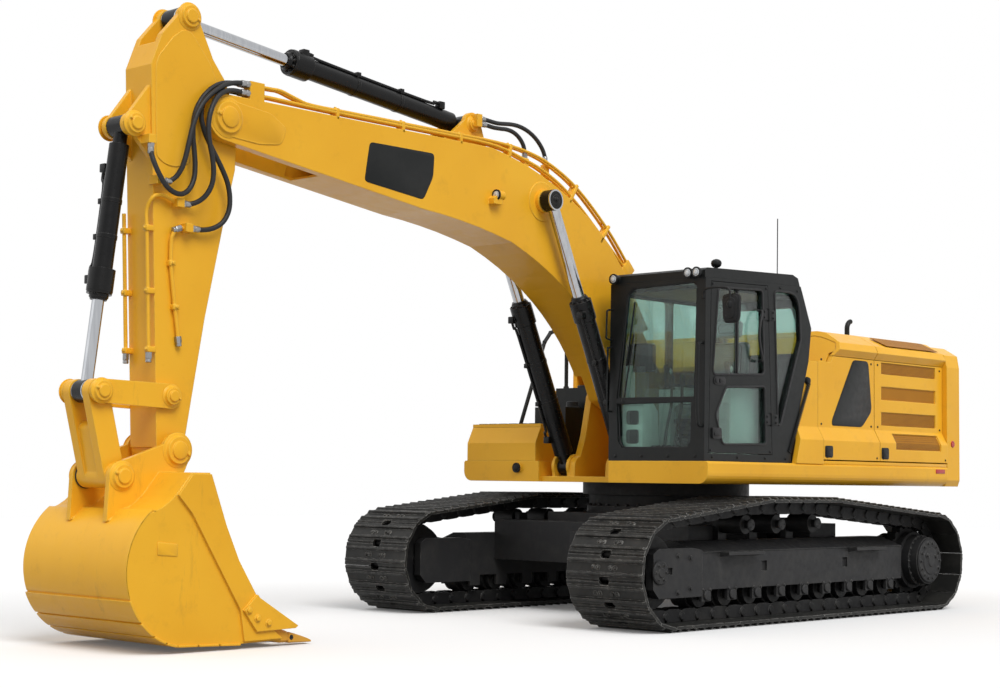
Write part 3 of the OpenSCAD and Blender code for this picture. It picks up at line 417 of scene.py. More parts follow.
floor_mesh.materials.append(floor_material)


def soft_sun(name, towards, strength, angle):
    lamp = bpy.data.objects.new(name, bpy.data.lights.new(name, "SUN"))
    lamp.data.energy = strength
    lamp.data.angle = math.radians(angle)
    lamp.rotation_euler = Vector(towards).to_track_quat("-Z", "Y").to_euler()
    bpy.context.scene.collection.objects.link(lamp)


soft_sun("key_light", (-0.24, -0.64, -0.73), 2.15, 35)
soft_sun("fill_light", (-0.70, 0.45, -0.55), 0.40, 60)
bpy.context.scene.view_settings.view_transform = "Standard"
print("stage ready: ambient", AMBIENT, "floor glow", FLOOR_GLOW)

# %% [markdown]
# ## Shape helpers
# The finer pieces are built in mesh code. A machine is mostly blocks with broken edges, turned parts,
# tubes, plates and bolts, so there is one short helper for each of these. They all add to a bmesh, and many
# small shapes become one piece.

# %% Shape helpers
FLAT = 0.002
CORNER_STEPS = 5


def add_block(shape, low, high, bevel=0.004, turn=None):
    """A box between two corners with its edges broken, turned about its middle where that is asked."""
    low, high = Vector(low), Vector(high)
    verts = bmesh.ops.create_cube(shape, size=1)["verts"]
    turned = turn.to_4x4() if turn else Matrix.Identity(4)
    stand = Matrix.Translation((low + high) / 2) @ turned @ Matrix.Diagonal((*(high - low), 1))
    bmesh.ops.transform(shape, matrix=stand, verts=verts)
    if bevel:
        edges = list({edge for vert in verts for edge in vert.link_edges})
        bmesh.ops.bevel(shape, geom=edges, offset=bevel, segments=2, profile=0.5, affect="EDGES",
                        clamp_overlap=True)


def facing(axis):
    """The turn that stands local Z along an axis."""
    return Vector(axis).to_track_quat("Z", "Y").to_matrix()


def add_skin(shape, rings, closed):
    """Faces from ring to ring. A closed skin also joins the last ring to the first, an open one gets caps."""
    count = len(rings[0])
    for one, two in zip(rings, rings[1:] + (rings[:1] if closed else [])):
        for k in range(count):
            shape.faces.new((one[k], one[(k + 1) % count], two[(k + 1) % count], two[k]))
    if not closed:
        shape.faces.new(list(reversed(rings[0])))
        shape.faces.new(rings[-1])


def add_lathe(shape, start, axis, profile, sides=24, hollow=False):
    """A turned part from rings of (distance along the axis, radius), solid or with a hole through it."""
    turn, start = facing(axis), Vector(start)
    rings = [[shape.verts.new(start + turn @ Vector((radius * math.cos(2 * math.pi * k / sides),
                                                     radius * math.sin(2 * math.pi * k / sides), distance)))
              for k in range(sides)] for distance, radius in profile]
    add_skin(shape, rings, hollow)


def add_rod(shape, start, end, radius, sides=14):
    """A round bar with its ends broken."""
    axis = Vector(end) - Vector(start)
    cut = radius * 0.2
    add_lathe(shape, start, axis, [(0, radius - cut), (cut, radius), (axis.length - cut, radius),
                                   (axis.length, radius - cut)], sides)


def smooth_path(points, steps=4):
    """Points on a smooth curve through the given ones."""
    points = [Vector(point) for point in points]
    padded = [2 * points[0] - points[1]] + points + [2 * points[-1] - points[-2]]
    path = []
    for a, b, c, d in zip(padded, padded[1:], padded[2:], padded[3:]):
        for step in range(steps):
            t = step / steps
            path.append(0.5 * (2 * b + (c - a) * t + (2 * a - 5 * b + 4 * c - d) * t * t
                               + (3 * b - a - 3 * c + d) * t ** 3))
    return path + [points[-1]]


def add_tube(shape, path, radius, sides=12, closed=False):
    """A round tube along a path, with rings that turn as little as they can."""
    path = [Vector(point) for point in path]
    count = len(path)
    rings, side = [], None
    for i, point in enumerate(path):
        ahead_point = path[(i + 1) % count] if closed else path[min(i + 1, count - 1)]
        behind = path[i - 1] if closed else path[max(i - 1, 0)]
        heading = (ahead_point - behind).normalized()
        side = heading.orthogonal() if side is None else side - heading * side.dot(heading)
        side.normalize()
        other = heading.cross(side)
        rings.append([shape.verts.new(point + radius * (math.cos(2 * math.pi * k / sides) * side
                                                        + math.sin(2 * math.pi * k / sides) * other))
                      for k in range(sides)])
    add_skin(shape, rings, closed)


def add_plate(shape, outline, across, low, high, bevel=0.0):
    """A plate cut to an outline in the two other axes, between two values along one axis."""
    def at(point, level):
        return Vector({"x": (level, point[0], point[1]), "y": (point[0], level, point[1]),
                       "z": (point[0], point[1], level)}[across])
    one = [shape.verts.new(at(point, low)) for point in outline]
    two = [shape.verts.new(at(point, high)) for point in outline]
    faces = [shape.faces.new(list(reversed(one))), shape.faces.new(two)]
    for k in range(len(outline)):
        nxt = (k + 1) % len(outline)
        faces.append(shape.faces.new((one[k], one[nxt], two[nxt], two[k])))
    if bevel:
        edges = list({edge for face in faces[:2] for edge in face.edges})
        bmesh.ops.bevel(shape, geom=edges, offset=bevel, segments=2, profile=0.5, affect="EDGES",
                        clamp_overlap=True)


def add_bolt(shape, place_point, axis, radius=0.014, height=0.011):
    """A hexagon head on its washer."""
    add_lathe(shape, place_point, axis, [(-0.002, radius * 1.45), (0.003, radius * 1.45)], 14)
    start = Vector(place_point) + Vector(axis).normalized() * 0.003
    add_lathe(shape, start, axis, [(0, radius), (height * 0.8, radius), (height, radius * 0.8)], 6)


def bolt_ring(shape, centre, axis, ring_radius, count, radius, height):
    turn = facing(axis)
    for k in range(count):
        angle = 2 * math.pi * k / count
        offset = turn @ Vector((ring_radius * math.cos(angle), ring_radius * math.sin(angle), 0))
        add_bolt(shape, Vector(centre) + offset, axis, radius, height)


def piece_from(name, shape, material, body, crease=32):
    """A bmesh as a piece with one finish, riding on a body."""
    bmesh.ops.recalc_face_normals(shape, faces=shape.faces)
    mesh = bpy.data.meshes.new(name)
    shape.to_mesh(mesh)
    shape.free()
    mesh.materials.append(material)
    mesh.shade_smooth()
    mesh.set_sharp_from_angle(angle=math.radians(crease))
    piece = bpy.data.objects.new(name, mesh)
    bpy.context.scene.collection.objects.link(piece)
    if body:
        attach(piece, body)
    print(f"{name}: {len(mesh.polygons)} faces on {body}")
    return piece


def outlines(node, axis, value):
    """The outlines of a solid's flat face that lies at one value of an axis, read from the frame."""
    index = "xyz".index(axis)
    mesh = cad_nodes[node].data
    count = {}
    for polygon in mesh.polygons:
        points = [mesh.vertices[i].co for i in polygon.vertices]
        if all(abs(point[index] - value) < FLAT for point in points):
            keys = [tuple(round(c, 4) for c in point) for point in points]
            for a, b in zip(keys, keys[1:] + keys[:1]):
                if (b, a) in count:
                    count.pop((b, a))
                else:
                    count[(a, b)] = True
    follow = {}
    for a, b in count:
        follow.setdefault(a, []).append(b)
    loops = []
    while follow:
        start = next(iter(follow))
        loop, here = [], start
        while here in follow:
            loop.append(here)
            nexts = follow[here]
            here = nexts.pop()
            if not nexts:
                follow.pop(loop[-1])
        loops.append([Vector(point) for point in loop])
    return [loop for loop in loops if len(loop) > 2]


def soften(loop, radius):
    """The same closed outline with its corners rounded off, and no doubled points on straight runs."""
    kept = []
    for a, b, c in zip(loop[-1:] + loop[:-1], loop, loop[1:] + loop[:1]):
        if (b - a).length > 1e-5 and (b - a).normalized().dot((c - b).normalized()) < 0.9995:
            kept.append(b)
    path = []
    for a, b, c in zip(kept[-1:] + kept[:-1], kept, kept[1:] + kept[:1]):
        reach = min(radius, (a - b).length * 0.45, (c - b).length * 0.45)
        start, end = b + (a - b).normalized() * reach, b + (c - b).normalized() * reach
        for step in range(CORNER_STEPS + 1):
            t = step / CORNER_STEPS
            path.append((1 - t) ** 2 * start + 2 * t * (1 - t) * b + t * t * end)
    return path


def rectangle(a0, a1, b0, b1):
    return [(a0, b0), (a1, b0), (a1, b1), (a0, b1)]


def rounded(outline, rounding):
    """A flat outline of two values a point, with its corners rounded off."""
    return [(point.x, point.y) for point in soften([Vector((a, b, 0)) for a, b in outline], rounding)]


print("shape helpers ready")

# %% [markdown]
# ## Hoses at the boom's nose
# Four rubber hoses hang in loops from the steel pipes on the boom to those on the stick, long enough for
# the stick to swing. A curve with a round bevel is the quick way to make a hose, but a curve can't bend
# between two bodies. Here each hose is a mesh tube along its route.

# %% Hoses at the boom's nose
HOSE_RADIUS = 0.018
NOSE_HOSES = [
    [(5140, 222, 3960), (5210, 222, 3960), (5290, 228, 3945), (5370, 240, 3915), (5450, 252, 3865),
     (5530, 260, 3800), (5595, 264, 3720), (5640, 264, 3625), (5670, 264, 3525), (5690, 260, 3430),
     (5705, 250, 3345), (5725, 236, 3270), (5755, 214, 3212), (5800, 195, 3180), (5850, 195, 3180)],
    [(5140, 182, 3960), (5210, 182, 3960), (5290, 190, 3952), (5375, 204, 3930), (5458, 216, 3885),
     (5535, 222, 3815), (5592, 222, 3725), (5620, 222, 3620), (5622, 222, 3515), (5608, 222, 3415),
     (5598, 222, 3315), (5608, 226, 3220), (5650, 232, 3140), (5715, 240, 3098), (5790, 250, 3098),
     (5860, 254, 3135), (5915, 250, 3205), (5950, 234, 3285), (5960, 214, 3345), (5960, 205, 3385),
     (5960, 205, 3420)],
    [(5140, 222, 3895), (5210, 222, 3895), (5290, 238, 3890), (5375, 258, 3868), (5450, 276, 3820),
     (5505, 290, 3750), (5540, 298, 3665), (5550, 300, 3570), (5535, 300, 3470), (5510, 300, 3375),
     (5495, 298, 3280), (5500, 290, 3190), (5530, 266, 3110), (5575, 228, 3060), (5630, 195, 3040),
     (5680, 195, 3040)],
    [(5140, 182, 3895), (5215, 182, 3895), (5300, 184, 3892), (5385, 186, 3878), (5468, 190, 3836),
     (5525, 196, 3758), (5540, 204, 3662), (5518, 212, 3570), (5475, 220, 3485), (5425, 226, 3405),
     (5370, 230, 3320), (5320, 230, 3230), (5295, 230, 3130), (5300, 228, 3030), (5345, 222, 2945),
     (5420, 212, 2895), (5500, 202, 2875), (5550, 195, 2875), (5600, 195, 2875)],
]
CYLINDER_HOSES = [
    [(2720, 170, 4100), (2640, 170, 4100), (2560, 166, 4096), (2480, 160, 4096), (2400, 156, 4104),
     (2310, 152, 4114), (2220, 150, 4114), (2130, 150, 4098), (2045, 150, 4066), (1970, 150, 4018),
     (1910, 150, 3956), (1880, 150, 3890), (1880, 150, 3830)],
    [(2720, 184, 4052), (2640, 184, 4052), (2560, 186, 4046), (2480, 188, 4048), (2400, 190, 4052),
     (2325, 190, 4042), (2255, 190, 4010), (2200, 190, 3955), (2180, 190, 3890), (2180, 190, 3840)],
]
# Where each nose hose starts and ends its turn from the boom to the stick
HOSE_TURNS = [((5.50, 0.2, 3.80), (5.72, 0.2, 3.24)), ((5.55, 0.2, 3.78), (5.78, 0.2, 3.64)),
              ((5.46, 0.2, 3.80), (5.56, 0.2, 3.10)), ((5.48, 0.2, 3.80), (5.42, 0.2, 2.95))]


def in_metres(points):
    return [tuple(c / 1000 for c in point) for point in points]


def hose(name, node, route):
    """A rubber hose along its route."""
    path = smooth_path(in_metres(route))
    shape = bmesh.new()
    add_tube(shape, path, HOSE_RADIUS, 16)
    piece = piece_from(name, shape, hose_rubber, None, 60)
    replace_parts(piece, node)
    return piece


for number, (route, turn) in enumerate(zip(NOSE_HOSES, HOSE_TURNS), 1):
    nose_hose = hose(f"nose_hose_skin_{number}", f"nose_hose_{number}", route)
    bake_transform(nose_hose)
for number, route in enumerate(CYLINDER_HOSES, 1):
    cylinder_hose = hose(f"cylinder_hose_skin_{number}", f"cylinder_hose_{number}", route)
    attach(cylinder_hose, "boom")

# %% [markdown]
# ## Hose ends
# Each hose ends in a crimped steel ferrule with a hexagon nut, and screws into its fitting. From a step
# away these bright collars are what tells a hydraulic hose from a cable. They are turned parts, all in one
# mesh for each body.

# %% Hose ends
def add_hose_end(shape, route, at_start):
    points = [Vector(point) for point in in_metres(route)]
    first, second = (points[0], points[1]) if at_start else (points[-1], points[-2])
    away = (second - first).normalized()
    add_lathe(shape, first - away * 0.001, away, [(0, 0.025), (0.026, 0.025), (0.030, 0.021)], 6)
    add_lathe(shape, first + away * 0.028, away,
              [(0, 0.0215), (0.006, 0.0225), (0.038, 0.0225), (0.044, 0.0195)], 20)


boom_ends = bmesh.new()
stick_ends = bmesh.new()
for route in NOSE_HOSES:
    add_hose_end(boom_ends, route, True)
    add_hose_end(stick_ends, route, False)
for route in CYLINDER_HOSES:
    add_hose_end(boom_ends, route, True)
    add_hose_end(boom_ends, route, False)
piece_from("hose_ends_boom", boom_ends, fitting_steel, "boom")
piece_from("hose_ends_stick", stick_ends, fitting_steel, "stick")

# %% [markdown]
# ## Track line
# A track is a chain of steel shoes that runs over the idler in front, three carrier rollers on top and the
# sprocket behind. An array along a curve would bend the shoes. Real shoes stay flat and only their pins
# turn, so the line of the track is worked out as arcs and straight runs, and each shoe is set on it as it
# is.

# %% Track line
GAUGE_HALF = 1.295
SHOE_WIDTH = 0.76
SHOES = 52
AXLE_X, AXLE_Z, WHEEL_R = 1.995, 0.455, 0.43
CARRIER_X, CARRIER_Z, CARRIER_BELT_R = (0.72, 0.27, -0.28), 0.815, 0.21
WHEELS = [(AXLE_X, AXLE_Z, WHEEL_R), *((x, CARRIER_Z, CARRIER_BELT_R) for x in CARRIER_X),
          (-AXLE_X, AXLE_Z, WHEEL_R)]


def leaving_angle(i):
    (ax, az, ar), (bx, bz, br) = WHEELS[i], WHEELS[(i + 1) % len(WHEELS)]
    return math.atan2(bz - az, bx - ax) - math.acos((ar - br) / math.hypot(bx - ax, bz - az))


def track_pieces():
    """The line's arcs and straight runs in order: kind, place, radius, angle and length."""
    found = []
    for i, (x, z, r) in enumerate(WHEELS):
        first, last = leaving_angle(i - 1), leaving_angle(i)
        found.append(("arc", x, z, r, first, r * ((last - first) % (2 * math.pi))))
        bx, bz, br = WHEELS[(i + 1) % len(WHEELS)]
        run = math.sqrt((bx - x) ** 2 + (bz - z) ** 2 - (r - br) ** 2)
        found.append(("run", x + r * math.cos(last), z + r * math.sin(last), r, last, run))
    return found


TRACK_PIECES = track_pieces()
TRACK_LENGTH = sum(piece[5] for piece in TRACK_PIECES)
SHOE_PITCH = TRACK_LENGTH / SHOES


def on_track(distance):
    """Place on the track's line and the direction that points away from the loop."""
    distance %= TRACK_LENGTH
    for kind, x, z, r, angle, length in TRACK_PIECES:
        if distance <= length:
            if kind == "arc":
                angle += distance / r
                return Vector((x + r * math.cos(angle), 0, z + r * math.sin(angle))), angle
            return Vector((x - distance * math.sin(angle), 0, z + distance * math.cos(angle))), angle
        distance -= length


print(f"track: {TRACK_LENGTH:.2f} m in {SHOES} shoes of {SHOE_PITCH * 1000:.0f} mm")

# %% [markdown]
# ## Track shoes and links
# Each shoe is a pressed plate with two bars that bite into the ground, a curled lip at either edge, and
# four bolts that hold it on two forged links. One shoe is drawn as a profile and some outlines, and then
# set 52 times on each side. The bars' ends slope down, as rolled bars are cropped, and that slope is what
# breaks the light along the track's edge. In the middle the plates are cut back, so that soil falls out of
# the chain. The links can be seen through these holes.

# %% Track shoes and links
BAR = SHOE_PITCH / 4
HALF_SHOE = SHOE_PITCH / 2 - 0.003
HOLE_EDGE = BAR + 0.020
SHOE_PROFILE = [(-HALF_SHOE, -0.019), (-HALF_SHOE, -0.007), (-HALF_SHOE + 0.007, 0), (-BAR - 0.014, 0),
                (-BAR - 0.008, 0.021), (-BAR, 0.023), (-BAR + 0.008, 0.021), (-BAR + 0.014, 0),
                (BAR - 0.014, 0), (BAR - 0.008, 0.021), (BAR, 0.023), (BAR + 0.008, 0.021),
                (BAR + 0.014, 0), (HALF_SHOE - 0.007, 0), (HALF_SHOE, -0.007), (HALF_SHOE, -0.019),
                (HALF_SHOE - 0.007, -0.025), (-HALF_SHOE + 0.007, -0.025)]
LINK_OUTLINE = [(-0.118, -0.092), (-0.104, -0.050), (-0.082, -0.027), (0.082, -0.027), (0.104, -0.050),
                (0.118, -0.092), (0.098, -0.118), (0.060, -0.128), (-0.060, -0.128), (-0.098, -0.118)]
LINK_BANDS = [(-0.108, -0.062), (0.062, 0.108)]
PIN_X, PIN_Z = SHOE_PITCH / 2, -0.072
EDGE_Y = SHOE_WIDTH / 2
SHOE_SECTIONS = [(-EDGE_Y, 0.2, HALF_SHOE), (-EDGE_Y + 0.02, 1, HALF_SHOE), (-0.052, 1, HALF_SHOE),
                 (-0.040, 1, HOLE_EDGE), (0.040, 1, HOLE_EDGE), (0.052, 1, HALF_SHOE),
                 (EDGE_Y - 0.02, 1, HALF_SHOE), (EDGE_Y, 0.2, HALF_SHOE)]


def add_shoe(shape):
    """One shoe, swept across the track through sections of (place, height of the bars, half length)."""
    rings = []
    for y, bar, half in SHOE_SECTIONS:
        rings.append([shape.verts.new((max(-half, min(half, u)), y, v * bar if v > 0 else v))
                      for u, v in SHOE_PROFILE])
    add_skin(shape, rings, False)
    for band in LINK_BANDS:
        for y in band:
            add_bolt(shape, (0, y, 0), (0, 0, 1), 0.014, 0.013)


def add_links(shape):
    for low, high in LINK_BANDS:
        add_plate(shape, LINK_OUTLINE, "y", low, high)
        outer = low - 0.014 if low < 0 else high + 0.014
        add_rod(shape, (PIN_X, min(low, outer), PIN_Z), (PIN_X, max(high, outer), PIN_Z), 0.034, 12)
    add_rod(shape, (PIN_X, -0.062, PIN_Z), (PIN_X, 0.062, PIN_Z), 0.028, 12)


def one_mesh(fill):
    shape = bmesh.new()
    fill(shape)
    mesh = bpy.data.meshes.new("pattern")
    shape.to_mesh(mesh)
    shape.free()
    return mesh


def laid_along_track(pattern, side):
    """Copies of a pattern, one for each shoe, on the left (1) or right (-1) track."""
    shape = bmesh.new()
    for number in range(SHOES):
        point, angle = on_track((number + 0.5) * SHOE_PITCH)
        first = len(shape.verts)
        shape.from_mesh(pattern)
        shape.verts.ensure_lookup_table()
        away = Vector((math.cos(angle), 0, math.sin(angle)))
        onward = Vector((-math.sin(angle), 0, math.cos(angle)))
        stand = Matrix((onward, Vector((0, 1, 0)), away)).transposed().to_4x4()
        stand.translation = point + Vector((0, side * GAUGE_HALF, 0))
        bmesh.ops.transform(shape, matrix=stand, verts=shape.verts[first:])
    return shape


shoe_pattern = one_mesh(add_shoe)
link_pattern = one_mesh(add_links)
for side, word in ((1, "left"), (-1, "right")):
    track_shoes = piece_from(f"track_shoes_{word}", laid_along_track(shoe_pattern, side), shoe_steel,
                             "undercarriage", 28)
    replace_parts(track_shoes, f"track_{word}")
    piece_from(f"track_links_{word}", laid_along_track(link_pattern, side), roller_grey, "undercarriage")

# %% [markdown]
# ## Running gear
# The final drive at the back is a round housing with a bolted cover. Along the frame, each roller's shaft
# ends in a cap held by two bolts, and the idler's bearing shows through the guard at the front. None of
# this is large, but without it the frame is a blank wall. Turned parts and rings of bolts make all of it,
# mirrored to the other track.

# %% Running gear
ROLLERS = 9
ROLLER_Z = 0.2554
FRAME_FACE = GAUGE_HALF + 0.185
GUARD_FACE = GAUGE_HALF + 0.205


def add_running_gear(shape, side):
    out = Vector((0, side, 0))

    def at(x, y, z):
        return Vector((x, side * y, z))

    hub = at(-AXLE_X, GAUGE_HALF + 0.263, AXLE_Z)
    add_lathe(shape, hub, out, [(0, 0.205), (0.014, 0.205), (0.022, 0.196), (0.022, 0.130), (0.030, 0.122),
                                (0.034, 0.060), (0.042, 0.052), (0.042, 0.030)], 40)
    bolt_ring(shape, hub + out * 0.022, out, 0.165, 14, 0.014, 0.012)
    for angle in (0.6, 2.7):
        add_bolt(shape, hub + out * 0.034 + Vector((0.085 * math.cos(angle), 0, 0.085 * math.sin(angle))),
                 out, 0.016, 0.014)
    bolt_ring(shape, at(-AXLE_X, GAUGE_HALF + 0.189, AXLE_Z), out, 0.226, 24, 0.010, 0.010)
    for number in range(ROLLERS):
        x = -1.44 + 2.8 * number / (ROLLERS - 1)
        add_lathe(shape, at(x, FRAME_FACE - 0.001, ROLLER_Z), out,
                  [(0, 0.042), (0.012, 0.042), (0.018, 0.035), (0.018, 0.014)], 20)
        for dx in (-0.047, 0.047):
            add_bolt(shape, at(x + dx, FRAME_FACE, ROLLER_Z + 0.045), out, 0.011, 0.010)
    add_lathe(shape, at(AXLE_X, GUARD_FACE - 0.001, AXLE_Z), out,
              [(0, 0.095), (0.012, 0.095), (0.020, 0.085), (0.020, 0.040),
               (0.028, 0.034), (0.028, 0.012)], 28)
    bolt_ring(shape, at(AXLE_X, GUARD_FACE + 0.019, AXLE_Z), out, 0.064, 6, 0.010, 0.009)
    for x, z in ((1.60, 0.56), (1.60, 0.32), (1.76, 0.58), (1.76, 0.29)):
        add_bolt(shape, at(x, GUARD_FACE, z), out, 0.016, 0.014)
    for x in CARRIER_X:
        add_lathe(shape, at(x, GAUGE_HALF + 0.159, CARRIER_Z), out,
                  [(0, 0.05), (0.010, 0.05), (0.018, 0.04), (0.018, 0.014)], 20)
        bolt_ring(shape, at(x, GAUGE_HALF + 0.169, CARRIER_Z), out, 0.026, 3, 0.008, 0.012)


def add_step_grips(shape, side):
    """Saw-toothed tread strips on the two step bars of a track frame."""
    for start in (0.686, -1.230):
        for number in range(24):
            x = start + 0.014 + number * 0.0203
            low, high = sorted((side * (FRAME_FACE + 0.012), side * (FRAME_FACE + 0.092)))
            add_plate(shape, [(x, 0.5995), (x + 0.016, 0.5995), (x + 0.008, 0.610)], "y", low, high)


def add_frame_welds(shape, side):
    """Weld beads along the folds of a track frame, and round the guard."""
    y = side * (FRAME_FACE + 0.0005)
    add_tube(shape, [(-1.63, y, 0.600), (-0.5, y, 0.601), (0.5, y, 0.601), (1.47, y, 0.600)], 0.006, 8)
    guard = [(1.442, 0.26), (1.442, 0.61), (1.56, 0.632)]
    add_tube(shape, [(x, side * (GAUGE_HALF + 0.187), z) for x, z in guard], 0.009, 8)


for side, word in ((1, "left"), (-1, "right")):
    gear = bmesh.new()
    add_running_gear(gear, side)
    add_step_grips(gear, side)
    add_frame_welds(gear, side)
    piece_from(f"running_gear_{word}", gear, frame_grey, "undercarriage")

# %% [markdown]
# ## Swing ring and belly
# The house turns on a ring whose bolts show all round from below. The lower frame is closed by belly
# plates. From above nobody sees them, but the part is looked at from every side, so they are here, as one
# ring of bolts and two bolted plates.

# %% Swing ring and belly
ring_bolts = bmesh.new()
bolt_ring(ring_bolts, (0, 0, 0.940), (0, 0, 1), 0.712, 40, 0.014, 0.016)
for x0, x1 in ((-0.66, -0.03), (0.03, 0.66)):
    add_block(ring_bolts, (x0, -0.44, 0.484), (x1, 0.44, 0.5005), 0.005)
    for x in (x0 + 0.06, (x0 + x1) / 2, x1 - 0.06):
        for y in (-0.38, 0.38):
            add_bolt(ring_bolts, (x, y, 0.484), (0, 0, -1), 0.015, 0.012)
piece_from("ring_bolts_and_belly_plates", ring_bolts, frame_grey, "undercarriage")

# %% [markdown]
# ## Window seals
# Each pane sits in a black rubber profile. The panes are solids in the frame, so their outlines are read
# from there, their corners are rounded a little, and a tube is swept along each one where glass and frame
# meet. Drawing the seals by hand would be as good, but then a changed window would leave its seal behind.

# %% Window seals
def add_seals(shape, node, axis, value, shift, radius):
    """A rubber tube round every pane of a node whose face lies at a value of an axis."""
    count = 0
    for loop in outlines(node, axis, value):
        path = soften(loop, 0.03)
        for point in path:
            point["xyz".index(axis)] += shift
        add_tube(shape, path, radius, 8, closed=True)
        count += 1
    return count


cab_seals, door_seals = bmesh.new(), bmesh.new()
found = add_seals(cab_seals, "cab_glass", "y", 1.422, 0.027, 0.010)
found += add_seals(cab_seals, "cab_glass", "x", 1.328, 0.004, 0.007)
found += add_seals(cab_seals, "cab_glass", "y", 0.468, -0.004, 0.010)
door_found = add_seals(door_seals, "cab_door_glass", "y", 1.426, 0.023, 0.010)
print("panes with seals:", found, "on the cab,", door_found, "on the door")
piece_from("cab_seals", cab_seals, seal_rubber, "house", 60)

# %% [markdown]
# ## Cab door
# The door hangs on two hinges at the post behind it. It has a sliding pane with a thin frame bar, a lock
# with a round cylinder under the window, a latch box low down and a curved handle to pull it shut. Every
# part of this is small and plain, so blocks with broken edges and swept tubes are enough, as one piece that
# rides on the door.

# %% Cab door
DOOR_FACE = 1.450
HINGES_Z = (1.700, 2.590)


def hinge_x(z):
    """The door's hinge line leans with the post."""
    return 0.402 + 0.0489 * (z - 1.405)


def add_rounded_pad(shape, x0, x1, z0, z1, y, thick, rounding=0.02):
    add_plate(shape, rounded(rectangle(x0, x1, z0, z1), rounding), "y", y - 0.002, y + thick, 0.003)


door_trim = door_seals
add_block(door_trim, (0.866, 1.418, 2.055), (0.888, 1.436, 2.790), 0.003)
add_block(door_trim, (0.900, 1.427, 2.065), (0.912, 1.434, 2.782), 0.002)
add_rounded_pad(door_trim, 1.075, 1.235, 1.962, 2.030, DOOR_FACE, 0.008, 0.03)
add_lathe(door_trim, (1.200, DOOR_FACE + 0.006, 1.996), (0, 1, 0),
          [(0, 0.022), (0.008, 0.022), (0.011, 0.018), (0.011, 0.006)], 20)
add_rounded_pad(door_trim, 1.085, 1.165, 1.978, 2.014, DOOR_FACE + 0.006, 0.010, 0.014)
add_rounded_pad(door_trim, 1.140, 1.262, 1.520, 1.610, DOOR_FACE, 0.016, 0.018)
add_block(door_trim, (1.158, DOOR_FACE + 0.012, 1.545), (1.245, DOOR_FACE + 0.024, 1.572), 0.004)
handle = [(0.598, 1.440, 2.620), (0.602, 1.486, 2.600), (0.640, 1.494, 2.500), (0.652, 1.494, 2.400),
          (0.636, 1.494, 2.300), (0.598, 1.486, 2.205), (0.590, 1.440, 2.188)]
add_tube(door_trim, smooth_path(handle, 6), 0.012, 12)
for z in HINGES_Z:
    x = hinge_x(z)
    add_block(door_trim, (x + 0.004, 1.448, z - 0.045), (x + 0.095, 1.458, z + 0.045), 0.003)
    for dz in (-0.024, 0.024):
        add_bolt(door_trim, (x + 0.066, 1.458, z + dz), (0, 1, 0), 0.009, 0.007)
for x, z in ((1.272, 1.425), (0.425, 1.425), (1.246, 2.790), (0.490, 2.812)):
    add_bolt(door_trim, (x, DOOR_FACE, z), (0, 1, 0), 0.008, 0.005)
piece_from("door_trim", door_trim, seal_rubber, "cab_door", 40)

# %% [markdown]
# ## Cab outside
# Round the cab there are the hinge barrels, a grab rail on the front post, two thin rails on the other
# post, a wiper, an aerial, a small dome on the roof and a ribbed guard along the slanted rear edge. Some
# could be curves. As mesh they join into one black piece with crisp bolts.

# %% Cab outside
cab_trim = bmesh.new()
for z in HINGES_Z:
    x = hinge_x(z)
    add_block(cab_trim, (x - 0.095, 1.448, z - 0.045), (x - 0.014, 1.458, z + 0.045), 0.003)
    add_rod(cab_trim, (hinge_x(z - 0.055), 1.456, z - 0.055), (hinge_x(z + 0.055), 1.456, z + 0.055), 0.012)
    for dz in (-0.024, 0.024):
        add_bolt(cab_trim, (x - 0.062, 1.458, z + dz), (0, 1, 0), 0.009, 0.007)
left_rail = [(1.350, 1.424, 2.300), (1.402, 1.424, 2.290), (1.414, 1.424, 2.230), (1.420, 1.424, 1.800),
             (1.414, 1.424, 1.690), (1.402, 1.424, 1.630), (1.350, 1.424, 1.620)]
add_tube(cab_trim, smooth_path(left_rail, 5), 0.013, 12)
for low, high, reach in ((2.36, 2.62, 0.060), (1.75, 2.30, 0.045)):
    rail = [(1.342, 0.470, high), (1.352 + reach, 0.466, high - 0.01), (1.362 + reach, 0.466, high - 0.05),
            (1.366 + reach, 0.466, low + 0.05), (1.358 + reach, 0.466, low + 0.01), (1.348, 0.470, low)]
    add_tube(cab_trim, smooth_path(rail, 5), 0.008, 10)
aerial = [(0.080, 1.280, 2.868), (0.080, 1.280, 2.960), (0.092, 1.290, 3.200), (0.110, 1.304, 3.470)]
add_lathe(cab_trim, (0.080, 1.280, 2.868), (0, 0, 1),
          [(0, 0.030), (0.012, 0.030), (0.030, 0.016), (0.070, 0.012), (0.076, 0.006)], 18)
add_tube(cab_trim, smooth_path(aerial, 4), 0.0045, 8)
add_lathe(cab_trim, (1.000, 1.300, 2.905), (0, 0, 1),
          [(0, 0.040), (0.012, 0.040), (0.014, 0.016), (0.050, 0.014), (0.056, 0.030),
           (0.070, 0.042), (0.088, 0.046), (0.106, 0.041), (0.118, 0.026), (0.123, 0.010)], 24)
rib_start, rib_end = Vector((0.150, 1.452, 1.425)), Vector((-0.158, 1.452, 2.045))
rib_turn = Matrix.Rotation(math.atan2(rib_end.x - rib_start.x, rib_end.z - rib_start.z), 3, "Y")
RIBS = 34
for number in range(RIBS):
    middle = rib_start.lerp(rib_end, (number + 0.5) / RIBS)
    add_block(cab_trim, middle - Vector((0.022, 0.006, 0.0065)), middle + Vector((0.022, 0.010, 0.0065)),
              0.003, rib_turn)
wiper_root = Vector((1.350, 0.600, 1.842))
add_lathe(cab_trim, wiper_root - Vector((0.02, 0, 0)), (1, 0, 0),
          [(0, 0.020), (0.030, 0.020), (0.036, 0.012)], 16)
add_tube(cab_trim, [wiper_root, wiper_root + Vector((0.006, 0.060, 0.300)),
                    Vector((1.345, 0.700, 2.400))], 0.006, 8)
